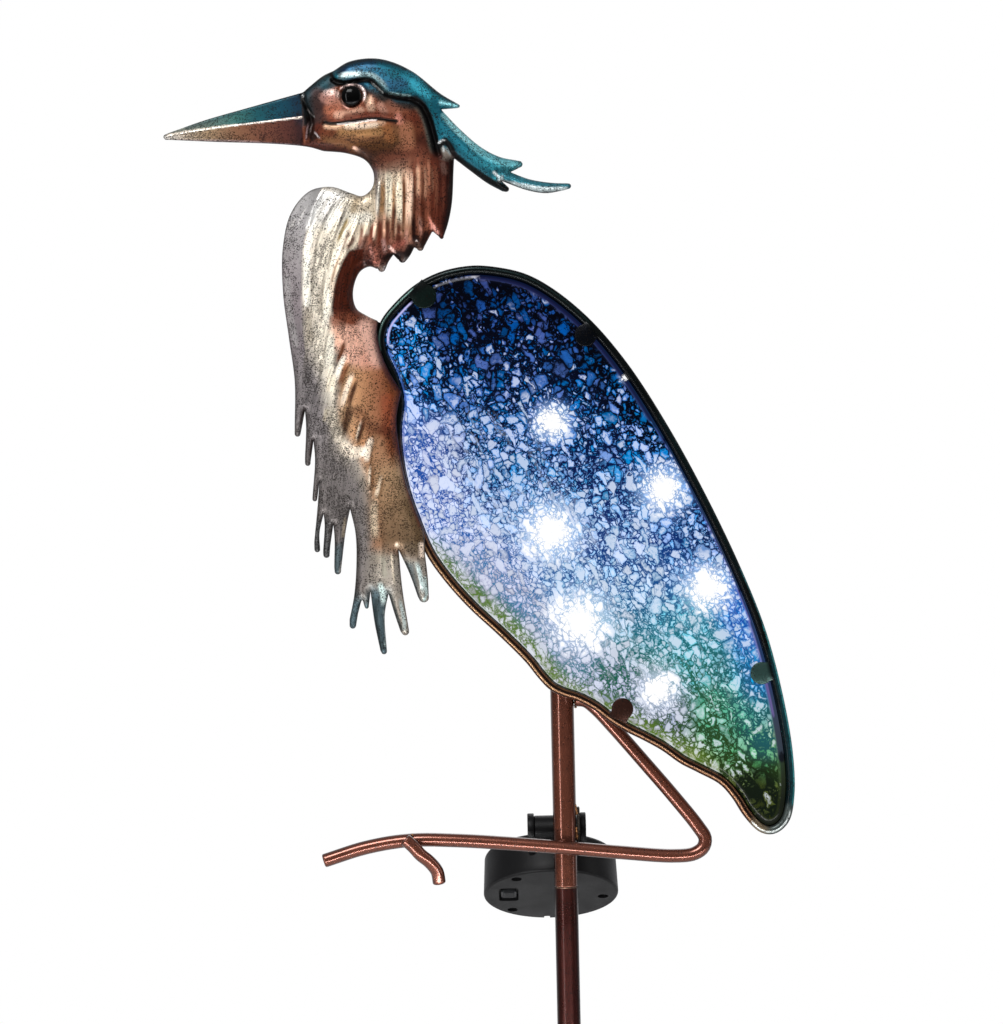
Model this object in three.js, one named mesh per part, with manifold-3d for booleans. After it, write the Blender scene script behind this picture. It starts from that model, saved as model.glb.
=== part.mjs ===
// Solar heron garden ornament: a stamped steel heron with a wing of crackle glass, on a steel leg.
// Millimetres. +X runs from the beak to the tail, +Y away from the viewer, +Z up.
// The origin is the centre of the straight leg where it meets the ground.

import * as THREE from 'three';
import { mergeVertices } from 'three/addons/utils/BufferGeometryUtils.js';
import Module from 'manifold-3d';

const wasm = await Module();
wasm.setup();

// Straight leg and rods
const TUBE_D = 13;
const JOINT_Z = 300;
const TUBE_TOP = 462;
const TUBE_SIDES = 24;
const ROD_D = 7.6;
const TOE_D = 7.3;
const GAP = 0.3;

// Wing tray and glass: depths are along Y, insets are measured inwards from the tray's outline
const TRAY_BACK = -(TUBE_D / 2 + GAP);
const TRAY_DEPTH = 16;
const TRAY_FRONT = TRAY_BACK - TRAY_DEPTH;
const SHEET = 1;
const WALL = 1.2;
const BEAD_W = 4.6;
const BEAD_ROUND = 2.1;
const LEDGE_W = 4;
const LEDGE_DROP = 5.4;
const GLASS_T = 4;
const GLASS_FRONT = TRAY_FRONT + LEDGE_DROP - GAP - GLASS_T;
const GLASS_CLEAR = 0.5;
const GLASS_EDGE = 4.2;
const GLASS_ROUND = 2.2;
const TAB_T = 1;
const TAB_R = 6.2;
const STRAP_DEPTHS = [TRAY_FRONT + 3.4, TRAY_FRONT + 2];

// Heron plate
const PLATE_T = 1.4;
const PLATE_BASE = TRAY_FRONT - GAP - PLATE_T;
const ROLL_W = 10;
const ROLL_H = 5;
const CROWN_STEP = 1.8;
const FLUTE_PITCH = 10.5;
const FLUTE_DEPTH = 1.6;
const GRID_X = 5;
const GRID_Z = 8;
const EYE = new THREE.Vector2(-109, 740);
const EYE_R = 5.5;
const EYE_DOME = 2.6;
const EYE_FRONT = PLATE_BASE - 11.5;
const EYE_BACK = PLATE_BASE - 4;
const EYE_SIDES = 20;

// Solar unit: a round case that droops towards the back from a hinge behind the leg
const CASE_TILT = THREE.MathUtils.degToRad(26.6);
const CASE_BASE = new THREE.Vector3(-8, 41, 291.2);
const CASE_R = 38.2;
const CASE_TOP_R = 37.4;
const CASE_H = 24;
const CASE_RIM = 3;
const CASE_FOOT = 1.6;
const CASE_SIDES = 36;
const PANEL_R = 32;
const PANEL_T = 1.6;
const PANEL_TOP = CASE_H - 0.2;
const HINGE = new THREE.Vector2(15.2, 331.2);
const BARREL_R = 7.4;
const EAR_R = 8.7;
const BARREL_X = [-17, 6.5];
const LEFT_EAR_X = [-20.7, -17];
const RIGHT_EAR_X = [8.8, 12];
const LUG_X = [6.85, 8.45];
const LUG_R = 6.4;
const PIN_R = 2;
const PIN_INSET = 0.6;
const PIN_SIDES = 16;

// Finishes
function finish(color, metalness, roughness) {
  return new THREE.MeshStandardMaterial({ color, metalness, roughness });
}

const COPPER_PAINT = finish(0x8a4a30, 0.7, 0.38);
const BREAST_PAINT = finish(0xa08f80, 0.65, 0.42);
const DARK_PAINT = finish(0x1c2524, 0.6, 0.4);
const STAKE_PAINT = finish(0x5b2b22, 0.55, 0.5);
const CRACKLE_GLASS = finish(0x3a66b8, 0, 0.12);
const CASE_PLASTIC = finish(0x2f3032, 0, 0.55);
const SOLAR_CELL = finish(0x10142a, 0.1, 0.2);
const GLOSS_BLACK = finish(0x060606, 0, 0.08);
const LAMP = finish(0xf2f4ff, 0, 0.3);
const PIN_STEEL = finish(0x8c8f92, 0.9, 0.35);

// Solids from geometries, and back
function solidOf(geometry) {
  const bare = geometry.clone();
  bare.deleteAttribute('normal');
  bare.deleteAttribute('uv');
  const merged = mergeVertices(bare, 1e-3);
  return new wasm.Manifold(new wasm.Mesh({
    numProp: 3,
    vertProperties: Float32Array.from(merged.attributes.position.array),
    triVerts: Uint32Array.from(merged.index.array),
  }));
}

function geometryOf(solid) {
  const mesh = solid.getMesh();
  const geometry = new THREE.BufferGeometry();
  geometry.setAttribute('position', new THREE.BufferAttribute(mesh.vertProperties, 3));
  geometry.setIndex(new THREE.BufferAttribute(mesh.triVerts, 1));
  geometry.computeVertexNormals();
  return geometry;
}

// Outlines lie in the X-Z plane. A stretch is a smooth curve through hand-set points, and stretches meet in
// corners. A curve is flattened until no chord misses it by more than sag.
const at = (x, z) => new THREE.Vector2(x, z);

function flatten(curve, sag, dense = 12) {
  const pieces = dense * Math.max(1, curve.points ? curve.points.length - 1 : 1);
  const fine = curve.getPoints(pieces);
  const kept = [fine[0]];
  let start = 0;
  while (start < fine.length - 1) {
    let end = start + 1;
    while (end + 1 < fine.length && chordMiss(fine, start, end + 1) < sag) end += 1;
    kept.push(fine[end]);
    start = end;
  }
  return kept;
}

function chordMiss(points, from, to) {
  const a = points[from];
  const chord = points[to].clone().sub(a);
  const length = chord.length() || 1;
  let worst = 0;
  for (let i = from + 1; i < to; i += 1) {
    const p = points[i].clone().sub(a);
    const along = p.dot(chord) / length;
    worst = Math.max(worst, Math.sqrt(Math.max(0, p.lengthSq() - along * along)));
  }
  return worst;
}

function stretch(points, sag) {
  const spine = points.map(([x, z]) => new THREE.Vector3(x, z, 0));
  const curve = new THREE.CatmullRomCurve3(spine, false, 'centripetal');
  return flatten(curve, sag).map((p) => at(p.x, p.y));
}

// The round end of a feather tip: half a circle whose open side faces the middle of its root.
function tip([x, z], radius, [rootX, rootZ], steps = 4) {
  const back = Math.atan2(rootZ - z, rootX - x);
  const points = [];
  for (let i = 0; i <= steps; i += 1) {
    const turn = back - Math.PI / 2 - (Math.PI * i) / steps;
    points.push(at(x + radius * Math.cos(turn), z + radius * Math.sin(turn)));
  }
  return points;
}

function joined(stretches) {
  const outline = [];
  for (const points of stretches) {
    for (const p of points) {
      const last = outline[outline.length - 1];
      if (!last || last.distanceTo(p) > 0.05) outline.push(p);
    }
  }
  if (outline[0].distanceTo(outline[outline.length - 1]) < 0.05) outline.pop();
  return outline;
}

// An outline in the X-Z plane, extruded along Y between two depths.
function slab(outline, yFrom, yTo) {
  const shape = new THREE.Shape(outline);
  const depth = Math.abs(yTo - yFrom);
  const geometry = new THREE.ExtrudeGeometry(shape, { depth, bevelEnabled: false });
  geometry.rotateX(Math.PI / 2);
  geometry.translate(0, Math.max(yFrom, yTo), 0);
  return geometry;
}

// An outline in the Y-Z plane, extruded along X between two places.
function plateAcrossX(outline, xFrom, xTo) {
  const shape = new THREE.Shape(outline);
  const geometry = new THREE.ExtrudeGeometry(shape, { depth: xTo - xFrom, bevelEnabled: false });
  geometry.rotateY(Math.PI / 2);
  geometry.rotateX(Math.PI / 2);
  geometry.translate(xFrom, 0, 0);
  return geometry;
}

// A stack of rings: the outline set in by each row's inset at that row's depth, with a cap on the first
// and the last ring.
function ringStack(outline, rows) {
  const count = outline.length;
  const clockwise = THREE.ShapeUtils.isClockWise(outline);
  const normals = outline.map((p, i) => {
    const before = outline[(i + count - 1) % count];
    const after = outline[(i + 1) % count];
    const along = after.clone().sub(before).normalize();
    return clockwise ? at(along.y, -along.x) : at(-along.y, along.x);
  });
  const positions = [];
  for (const [inset, y] of rows) {
    outline.forEach((p, i) => positions.push(p.x + normals[i].x * inset, y, p.y + normals[i].y * inset));
  }
  const faces = [];
  const quad = (a, b, c, d) => (clockwise ? faces.push(a, c, b, a, d, c) : faces.push(a, b, c, a, c, d));
  for (let row = 0; row + 1 < rows.length; row += 1) {
    for (let i = 0; i < count; i += 1) {
      const next = (i + 1) % count;
      quad(row * count + i, row * count + next, (row + 1) * count + next, (row + 1) * count + i);
    }
  }
  const capOf = (row, facesBack) => {
    const [inset] = rows[row];
    const ring = outline.map((p, i) => p.clone().addScaledVector(normals[i], inset));
    for (const [a, b, c] of THREE.ShapeUtils.triangulateShape(ring, [])) {
      const base = row * count;
      if (facesBack) faces.push(base + a, base + c, base + b);
      else faces.push(base + a, base + b, base + c);
    }
  };
  capOf(0, true);
  capOf(rows.length - 1, false);
  const geometry = new THREE.BufferGeometry();
  geometry.setAttribute('position', new THREE.Float32BufferAttribute(positions, 3));
  geometry.setIndex(faces);
  return geometry;
}

// A round bar along a flattened path, with flat ends.
function bar(points, radius, sides) {
  const positions = [];
  const faces = [];
  const directions = points.map((p, i) => {
    const from = points[Math.max(0, i - 1)];
    const to = points[Math.min(points.length - 1, i + 1)];
    return to.clone().sub(from).normalize();
  });
  const across = new THREE.Vector3(0, 1, 0).cross(directions[0]).normalize();
  points.forEach((p, i) => {
    across.addScaledVector(directions[i], -across.dot(directions[i])).normalize();
    const up = directions[i].clone().cross(across);
    for (let s = 0; s < sides; s += 1) {
      const turn = (2 * Math.PI * s) / sides;
      const q = p.clone().addScaledVector(across, radius * Math.cos(turn));
      q.addScaledVector(up, radius * Math.sin(turn));
      positions.push(q.x, q.y, q.z);
    }
  });
  for (let i = 0; i + 1 < points.length; i += 1) {
    for (let s = 0; s < sides; s += 1) {
      const a = i * sides + s;
      const b = i * sides + ((s + 1) % sides);
      faces.push(a, b, b + sides, a, b + sides, a + sides);
    }
  }
  const end = (points.length - 1) * sides;
  for (let s = 1; s + 1 < sides; s += 1) {
    faces.push(0, s + 1, s);
    faces.push(end, end + s, end + s + 1);
  }
  const geometry = new THREE.BufferGeometry();
  geometry.setAttribute('position', new THREE.Float32BufferAttribute(positions, 3));
  geometry.setIndex(faces);
  return geometry;
}

function uprightRod(radius, zFrom, zTo) {
  const geometry = new THREE.CylinderGeometry(radius, radius, zTo - zFrom, TUBE_SIDES);
  geometry.rotateX(Math.PI / 2);
  geometry.translate(0, 0, (zFrom + zTo) / 2);
  return geometry;
}

// A round bar on the hinge's axis between two places along X.
function hingeRod(radius, [xFrom, xTo], sides = 24) {
  const geometry = new THREE.CylinderGeometry(radius, radius, xTo - xFrom, sides);
  geometry.rotateZ(Math.PI / 2);
  geometry.translate((xFrom + xTo) / 2, HINGE.x, HINGE.y);
  return geometry;
}

// Outline of the heron plate, clockwise from the beak's tip
const OUTLINE_SAG = 0.35;

function heronOutline() {
  const run = (...points) => stretch(points, OUTLINE_SAG);
  return joined([
    tip([-211.2, 719.3], 1.5, [-200, 721]),
    run([-209.5, 721.6], [-190, 728], [-165, 734.6], [-135.5, 742.2]),
    run([-135.5, 742.2], [-130, 746.8], [-124, 751.2], [-118.6, 753.6]),
    run([-118.6, 753.6], [-110, 758.5], [-98, 760.2], [-88, 758.6], [-75, 752.4], [-60, 740], [-52, 735]),
    tip([-50.4, 732.9], 1, [-59, 735.5]),
    run([-51.5, 731.8], [-59.8, 731.3]),
    run([-59.8, 731.3], [-50, 720.5], [-38, 709.8], [-28, 704.4], [-18.5, 702.2]),
    tip([-17.4, 700.2], 1.8, [-26, 700]),
    run([-19, 697.5], [-22.5, 696]),
    run([-22.5, 696], [-12, 691.8], [0, 689.6], [8.8, 689.1]),
    tip([9.3, 687.6], 1.5, [0, 687]),
    run([6, 685.2], [-3, 684], [-13, 685.7], [-27.4, 691.2]),
    tip([-24.9, 686.7], 1.6, [-32, 691]),
    run([-27, 685.5], [-35, 690], [-45, 697.6], [-53.2, 704.2]),
    run([-53.2, 704.2], [-53.7, 697], [-54.9, 680], [-57.2, 669], [-60, 661]),
    tip([-61, 661.2], 1.2, [-61.5, 668]),
    run([-62.5, 661.4], [-66, 664.4]),
    run([-66, 664.4], [-68.5, 660], [-71, 655.4]),
    tip([-72.9, 655.7], 2, [-72, 665]),
    run([-74.6, 654.8], [-76.2, 655.7]),
    run([-76.2, 655.7], [-78.4, 651.6], [-81, 648.3]),
    tip([-82.8, 649.6], 2.2, [-82, 658]),
    run([-85, 648.9], [-87.8, 652]),
    run([-87.8, 652], [-90.6, 648], [-92.4, 643.9]),
    tip([-94.4, 644.7], 2.1, [-93, 654]),
    run([-96.6, 644.2], [-101, 645.7], [-106.5, 642.8], [-110.4, 632], [-108.8, 623], [-103, 618.7],
      [-97, 615.7]),
    run([-97, 615.7], [-97.6, 609], [-95.2, 597], [-91, 587], [-85, 576.6]),
    run([-85, 576.6], [-87.9, 562], [-87, 547], [-83.8, 528], [-79, 512.5], [-74.3, 498.5], [-74, 487]),
    run([-74, 487], [-72.7, 474], [-72.4, 464]),
    tip([-75.1, 463.2], 2.8, [-78.5, 480]),
    run([-78.3, 463.4], [-82.5, 476], [-88.4, 489.6]),
    run([-88.4, 489.6], [-86.8, 468], [-83.9, 447]),
    tip([-85.7, 444.6], 2.1, [-90, 470]),
    run([-88.3, 444.6], [-91.4, 454.5], [-94.5, 465.8]),
    run([-94.5, 465.8], [-96.8, 454], [-96.1, 435]),
    tip([-97.6, 433.9], 1.6, [-99.5, 450]),
    run([-99.6, 434.3], [-102.5, 450], [-104.4, 467.2]),
    tip([-106.6, 458.7], 1.1, [-107, 466]),
    run([-108, 459.5], [-109, 462.6], [-111.5, 455]),
    tip([-114.5, 448.6], 1.8, [-111.5, 465]),
    run([-116.2, 452], [-113.4, 465], [-111.8, 482], [-111.9, 499], [-114.6, 512.8]),
    run([-114.6, 512.8], [-117.2, 501], [-120.2, 480]),
    tip([-122.1, 478.6], 1.8, [-119, 505]),
    run([-124, 481], [-123.5, 497], [-124, 504.3]),
    run([-124, 504.3], [-126, 492], [-126.4, 488]),
    tip([-128.1, 487.8], 1.8, [-126.5, 505]),
    run([-129.9, 490], [-128.8, 504], [-129.2, 510.4]),
    run([-129.2, 510.4], [-131.7, 500], [-131.6, 491]),
    tip([-133.1, 490.8], 1.6, [-132, 505]),
    run([-134.7, 495], [-132.7, 512], [-131.1, 528.4]),
    tip([-133.9, 518.5], 1.3, [-132.8, 527]),
    run([-135, 521], [-133.3, 540], [-133.9, 550.6]),
    run([-133.9, 550.6], [-135.8, 539]),
    tip([-137.3, 538.3], 1.5, [-136.2, 552]),
    run([-138.8, 541], [-137.8, 558], [-138.2, 567.3]),
    run([-138.2, 567.3], [-140.3, 557.5]),
    tip([-142.6, 554.6], 1.6, [-141, 570]),
    run([-144.1, 558], [-143.5, 583], [-146.2, 608], [-148.8, 632], [-148.4, 657], [-143.5, 676],
      [-133, 687.8], [-121, 690], [-110.5, 686.4], [-104, 684.6], [-98.6, 689], [-97.7, 697],
      [-102, 704.2], [-112, 708.2], [-125, 709.8]),
    run([-125, 709.8], [-133, 712.2], [-150, 714.2], [-185, 716.2], [-209.5, 717.8]),
  ]);
}

// Distance from a point to a closed outline, positive inside it
function insideDistance(outline, x, z) {
  let nearest = Infinity;
  let inside = false;
  for (let i = 0; i < outline.length; i += 1) {
    const a = outline[i];
    const b = outline[(i + 1) % outline.length];
    const dx = b.x - a.x;
    const dz = b.y - a.y;
    const share = THREE.MathUtils.clamp(((x - a.x) * dx + (z - a.y) * dz) / (dx * dx + dz * dz), 0, 1);
    nearest = Math.min(nearest, Math.hypot(x - a.x - share * dx, z - a.y - share * dz));
    if ((a.y > z) !== (b.y > z) && x < a.x + ((z - a.y) * dx) / dz) inside = !inside;
  }
  return inside ? nearest : -nearest;
}

const smooth = THREE.MathUtils.smoothstep;

function swell(x, z, [cx, cz, rx, rz, height]) {
  const r = Math.hypot((x - cx) / rx, (z - cz) / rz);
  return r < 1 ? height * (0.5 + 0.5 * Math.cos(Math.PI * r)) : 0;
}

// Relief of the plate: how far its front stands proud of the base plane
const BEAK = { tipX: -212, baseX: -134, tipZ: 719.7, baseZ: 728.6, tipHeight: 1.5, baseHeight: 7.5,
  tipWidth: 1.6, upperWidth: 13.8, lowerWidth: 16 };
const SWELLS = [
  [-100, 733, 38, 30, 5],
  [-119, 722, 22, 14, 1.5],
  [-80, 690, 34, 46, 3],
  [-122, 640, 36, 60, 4.5],
  [-106, 575, 34, 80, 4],
];

// The crest stands proud of the face inside this outline, whose lower side is the groove below the crest
const CREST = [at(-120, 756), at(-117, 748), at(-104, 749.5), at(-96, 746.5), at(-90, 740.5),
  at(-78, 737.5), at(-71, 734), at(-66, 724), at(-62, 708), at(-52, 700), at(-30, 680), at(30, 670),
  at(30, 790), at(-120, 790)];

// Height of the beak's two facets, which meet in a ridge from the tip to the face.
function beakHeight(x, z) {
  const along = THREE.MathUtils.clamp((x - BEAK.tipX) / (BEAK.baseX - BEAK.tipX), 0, 1);
  const ridgeZ = THREE.MathUtils.lerp(BEAK.tipZ, BEAK.baseZ, along);
  const rootWidth = z > ridgeZ ? BEAK.upperWidth : BEAK.lowerWidth;
  const facetWidth = THREE.MathUtils.lerp(BEAK.tipWidth, rootWidth, along);
  const facet = Math.max(0, 1 - Math.abs(z - ridgeZ) / facetWidth);
  return facet * THREE.MathUtils.lerp(BEAK.tipHeight, BEAK.baseHeight, along);
}

// Feather flutes run down the neck and breast and fan out slightly towards the fringe.
function fluteHeight(x, z) {
  const fan = 1 + 0.003 * Math.max(0, 690 - z);
  const flow = (x + 150) / fan - 0.16 * (z - 640);
  const feathered = 1 - smooth(z, 690, 705);
  return FLUTE_DEPTH * feathered * Math.sin((2 * Math.PI * flow) / FLUTE_PITCH);
}

function relief(outline, x, z) {
  const edge = insideDistance(outline, x, z);
  const across = THREE.MathUtils.clamp(edge / ROLL_W, 0, 1);
  const rolled = ROLL_H * (1 - (1 - across) ** 2);
  const swells = SWELLS.reduce((sum, s) => sum + swell(x, z, s), 0);
  const crest = CROWN_STEP * smooth(insideDistance(CREST, x, z), -3, 3);
  const body = rolled + smooth(edge, 0, 4) * (swells + fluteHeight(x, z) + crest);
  const onBeak = 1 - smooth(x, BEAK.baseX - 1, BEAK.baseX + 3);
  return THREE.MathUtils.lerp(body, beakHeight(x, z), onBeak);
}

function heronPlate() {
  const outline = heronOutline();
  const xs = outline.map((p) => p.x);
  const zs = outline.map((p) => p.y);
  const x0 = Math.min(...xs) - GRID_X;
  const z0 = Math.min(...zs) - GRID_Z;
  const columns = Math.ceil((Math.max(...xs) - x0) / GRID_X) + 1;
  const rows = Math.ceil((Math.max(...zs) - z0) / GRID_Z) + 1;
  const sheet = new THREE.PlaneGeometry(columns * GRID_X, rows * GRID_Z, columns, rows);
  const flat = sheet.attributes.position;
  const count = flat.count;
  const positions = new Float32Array(count * 6);
  for (let i = 0; i < count; i += 1) {
    const x = flat.getX(i) + x0 + (columns * GRID_X) / 2;
    const z = flat.getY(i) + z0 + (rows * GRID_Z) / 2;
    const y = PLATE_BASE - relief(outline, x, z);
    positions.set([x, y, z], 3 * i);
    positions.set([x, y + PLATE_T, z], 3 * (count + i));
  }
  const faces = [];
  const front = sheet.index.array;
  for (let i = 0; i < front.length; i += 3) {
    faces.push(front[i], front[i + 1], front[i + 2]);
    faces.push(count + front[i], count + front[i + 2], count + front[i + 1]);
  }
  const border = [];
  for (let c = 0; c < columns; c += 1) border.push(c);
  for (let r = 0; r < rows; r += 1) border.push(r * (columns + 1) + columns);
  for (let c = columns; c > 0; c -= 1) border.push(rows * (columns + 1) + c);
  for (let r = rows; r > 0; r -= 1) border.push(r * (columns + 1));
  border.forEach((a, i) => {
    const b = border[(i + 1) % border.length];
    faces.push(a, b, count + b, a, count + b, count + a);
  });
  const block = new THREE.BufferGeometry();
  block.setAttribute('position', new THREE.BufferAttribute(positions, 3));
  block.setIndex(faces);
  const eyeSeat = new THREE.CylinderGeometry(EYE_R + GAP, EYE_R + GAP, 60, 24);
  eyeSeat.translate(EYE.x, PLATE_BASE, EYE.y);
  const prism = solidOf(slab(outline, PLATE_BASE + 2 * PLATE_T, PLATE_BASE - 30));
  return geometryOf(solidOf(block).intersect(prism).subtract(solidOf(eyeSeat)));
}

// The eye: a domed bead in a round seat of the head
function eyeBead() {
  const profile = [new THREE.Vector2(0, 0), new THREE.Vector2(EYE_R, 0)];
  const shoulder = EYE_BACK - EYE_FRONT - EYE_DOME;
  const steps = 4;
  for (let i = 0; i <= steps; i += 1) {
    const turn = (Math.PI / 2) * (i / steps);
    const radius = i === steps ? 0 : EYE_R * Math.cos(turn);
    profile.push(new THREE.Vector2(radius, shoulder + EYE_DOME * Math.sin(turn)));
  }
  const geometry = new THREE.LatheGeometry(profile, EYE_SIDES);
  geometry.rotateX(Math.PI);
  geometry.translate(EYE.x, EYE_BACK, EYE.y);
  return geometry;
}

// Outline of the wing tray, clockwise from its top
const TRAY_POINTS = [[-45, 645.3], [-30, 644], [-15, 640], [0, 631.4], [20, 614], [40, 589.3], [60, 557],
  [80, 519], [100, 475], [113, 440], [122, 402], [126.3, 372], [126.6, 350], [123.6, 336], [118, 330],
  [112.5, 328.4], [106.5, 330.2], [99, 338], [92.5, 348.5], [85.5, 356.6], [74, 363.2], [64, 368.6],
  [54, 376], [44, 381.8], [34, 387], [25, 392.8], [17, 399.2], [8, 404.2], [0, 407], [-7, 410.8],
  [-13, 417.2], [-20, 426.3], [-35, 441.8], [-50, 456.2], [-63, 471.2], [-73, 486], [-80, 503], [-86, 521],
  [-89.6, 541], [-90.2, 557], [-88.6, 572], [-91.8, 585], [-97, 597.5], [-98.2, 606], [-95.8, 615.5],
  [-88, 625.3], [-76, 635.6], [-62, 642.3]];

function trayOutline() {
  const spine = TRAY_POINTS.map(([x, z]) => new THREE.Vector3(x, z, 0));
  const curve = new THREE.CatmullRomCurve3(spine, true, 'centripetal');
  const points = flatten(curve, 0.3).map((p) => at(p.x, p.y));
  points.pop();
  return points;
}

// Tabs clockwise from the upper left, each with the middle of its round end and of its root on the rim
const TABS = [
  { centre: [-71.5, 629], root: [-79.5, 636.5] },
  { centre: [17, 605.5], root: [24.5, 611.5] },
  { centre: [110, 417.6], root: [119.5, 419.2] },
  { centre: [32.8, 399.4], root: [29.8, 388.6] },
];

// The strap that reaches from the tray behind the neck
const STRAP = [at(-112, 621), at(-108, 621.5), at(-97.5, 615.6), at(-93.6, 613.8), at(-95, 604),
  at(-112, 604)];

// A folded tab: a round-ended tongue from the rim over the edge of the glass
function tabOutline({ centre: [cx, cz], root: [rx, rz] }) {
  const back = Math.atan2(rz - cz, rx - cx);
  const points = [];
  for (let i = 0; i <= 10; i += 1) {
    const turn = back + Math.PI / 3 + ((Math.PI * 4) / 3) * (i / 10);
    points.push(at(cx + TAB_R * Math.cos(turn), cz + TAB_R * Math.sin(turn)));
  }
  const halfNeck = TAB_R * Math.sin(Math.PI / 3);
  const sideways = at(-Math.sin(back), Math.cos(back)).multiplyScalar(halfNeck);
  points.push(at(rx, rz).sub(sideways), at(rx, rz).add(sideways));
  return points;
}

function wingTray() {
  const outline = trayOutline();
  const rows = [[0, TRAY_BACK], [0, TRAY_FRONT + BEAD_ROUND]];
  for (let i = 1; i <= 5; i += 1) {
    const turn = (Math.PI * i) / 5;
    rows.push([(BEAD_W / 2) * (1 - Math.cos(turn)), TRAY_FRONT + BEAD_ROUND * (1 - Math.sin(turn))]);
  }
  rows.push([BEAD_W, TRAY_FRONT + LEDGE_DROP]);
  rows.push([BEAD_W + LEDGE_W, TRAY_FRONT + LEDGE_DROP]);
  rows.push([BEAD_W + LEDGE_W, TRAY_FRONT + LEDGE_DROP + SHEET]);
  rows.push([WALL, TRAY_FRONT + LEDGE_DROP + SHEET]);
  rows.push([WALL, TRAY_BACK - SHEET]);
  let tray = solidOf(ringStack(outline, rows));
  const tabBack = GLASS_FRONT - GAP;
  for (const tab of TABS) {
    tray = tray.add(solidOf(slab(tabOutline(tab), tabBack, tabBack - TAB_T)));
  }
  return geometryOf(tray.add(solidOf(slab(STRAP, ...STRAP_DEPTHS))));
}

function wingGlass() {
  const start = BEAD_W + GLASS_CLEAR;
  const rows = [[start, GLASS_FRONT + GLASS_T], [start, GLASS_FRONT + GLASS_ROUND]];
  for (let i = 1; i <= 3; i += 1) {
    const turn = (Math.PI / 2) * (i / 3);
    rows.push([start + GLASS_EDGE * (1 - Math.cos(turn)), GLASS_FRONT + GLASS_ROUND * (1 - Math.sin(turn))]);
  }
  return ringStack(trayOutline(), rows);
}

// Lamps on the tray's back wall, behind the bright spots of the glass
const LAMPS = [[-2.5, 558], [58, 520], [-4.5, 498], [81, 465], [10.5, 448], [53, 409.5], [38.5, 582]];
const LAMP_PROFILE = [at(0, 0), at(2.9, 0), at(2.5, 3.2), at(1.7, 5), at(0, 5.6)];
const LAMP_SIDES = 8;

function lamp([x, z]) {
  const geometry = new THREE.LatheGeometry(LAMP_PROFILE, LAMP_SIDES);
  geometry.rotateX(Math.PI);
  geometry.translate(x, TRAY_BACK - SHEET - GAP, z);
  return geometry;
}

// The bent leg runs from its weld on the straight leg down the thigh, round the knee and along the foot
const FOOT_Y = -(TUBE_D / 2 + ROD_D / 2 + GAP);
const BENT_LEG = [[7.4, 0, 404], [13, 0, 403.2], [19, 0, 398.4], [27.5, -0.6, 389], [44.4, -2.6, 369],
  [61, -4.8, 349], [74, -7, 332.2], [77.5, -8.2, 326], [76.2, -9.2, 321], [71, -9.8, 317.7],
  [60, -10.2, 316.8], [30, FOOT_Y, 319.4], [0, FOOT_Y, 322.6], [-30, FOOT_Y, 325.5],
  [-60, FOOT_Y, 327.9], [-86, FOOT_Y, 328.6], [-110, FOOT_Y, 325.2], [-134, FOOT_Y, 318.2]];
const TOE_Y = FOOT_Y - ROD_D / 2 - TOE_D / 2 - GAP;
const TOE = [[-88.6, TOE_Y, 330], [-84, TOE_Y, 325.6], [-80.2, TOE_Y + 0.4, 321.2], [-75.4, TOE_Y + 2, 317],
  [-71.4, TOE_Y + 4, 311.5], [-70.2, TOE_Y + 5.4, 304.6]];

const ROD_SIDES = 12;
const ROD_SAG = 0.25;

function bentRod(path, diameter) {
  const spine = path.map(([x, y, z]) => new THREE.Vector3(x, y, z));
  const curve = new THREE.CatmullRomCurve3(spine, false, 'centripetal');
  return bar(flatten(curve, ROD_SAG), diameter / 2, ROD_SIDES);
}

// The lug reaches back from the leg's right side to a round end about the pin
const LUG_ROOT = [at(-2, 325.5), at(-2, 339.5), at(1.5, 343.8), at(8, 343.8)];

function hingeLug() {
  const outline = [...LUG_ROOT];
  for (let i = 0; i <= 8; i += 1) {
    const turn = THREE.MathUtils.degToRad(80 - (165 * i) / 8);
    outline.push(at(HINGE.x + LUG_R * Math.cos(turn), HINGE.y + LUG_R * Math.sin(turn)));
  }
  const plate = solidOf(plateAcrossX(outline, ...LUG_X));
  return geometryOf(plate.subtract(solidOf(hingeRod(PIN_R + GAP, [0, 20], PIN_SIDES))));
}

// The case is lathed about its own axis, with +Z towards the panel, and then leaned back
function leaned(geometry) {
  geometry.rotateX(-CASE_TILT);
  geometry.translate(CASE_BASE.x, CASE_BASE.y, CASE_BASE.z);
  return geometry;
}

function turned(profile, sides) {
  const geometry = new THREE.LatheGeometry(profile.map(([r, h]) => new THREE.Vector2(r, h)), sides);
  geometry.rotateX(Math.PI / 2);
  return geometry;
}

// Hollows of the case's underside, placed on the drum before it is leaned back
const SWITCH = { x: -24, y: -2, width: 11, length: 20, depth: 3.2 };
const KNOB = { width: 8.6, length: 9, height: 2.2, y: 1.6 };
const WELLS = [[-19.5, -26], [29.5, 3.8], [-22, 22.6]];
const WELL = { radius: 3, depth: 2.5, sides: 14 };
const NOTCH = { x: -2.2, width: 3.4, length: 8, height: 3 };

function caseDrum() {
  const profile = [[0, 0], [CASE_R - CASE_FOOT, 0], [CASE_R - CASE_FOOT / 4, CASE_FOOT / 3],
    [CASE_R, CASE_FOOT]];
  const steps = 3;
  for (let i = 0; i <= steps; i += 1) {
    const turn = (Math.PI / 2) * (i / steps);
    profile.push([CASE_TOP_R - CASE_RIM * (1 - Math.cos(turn)), CASE_H - CASE_RIM * (1 - Math.sin(turn))]);
  }
  const floor = PANEL_TOP - PANEL_T - GAP;
  profile.push([PANEL_R + GAP, CASE_H], [PANEL_R + GAP, floor], [0, floor]);
  return solidOf(leaned(turned(profile, CASE_SIDES)));
}

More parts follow.
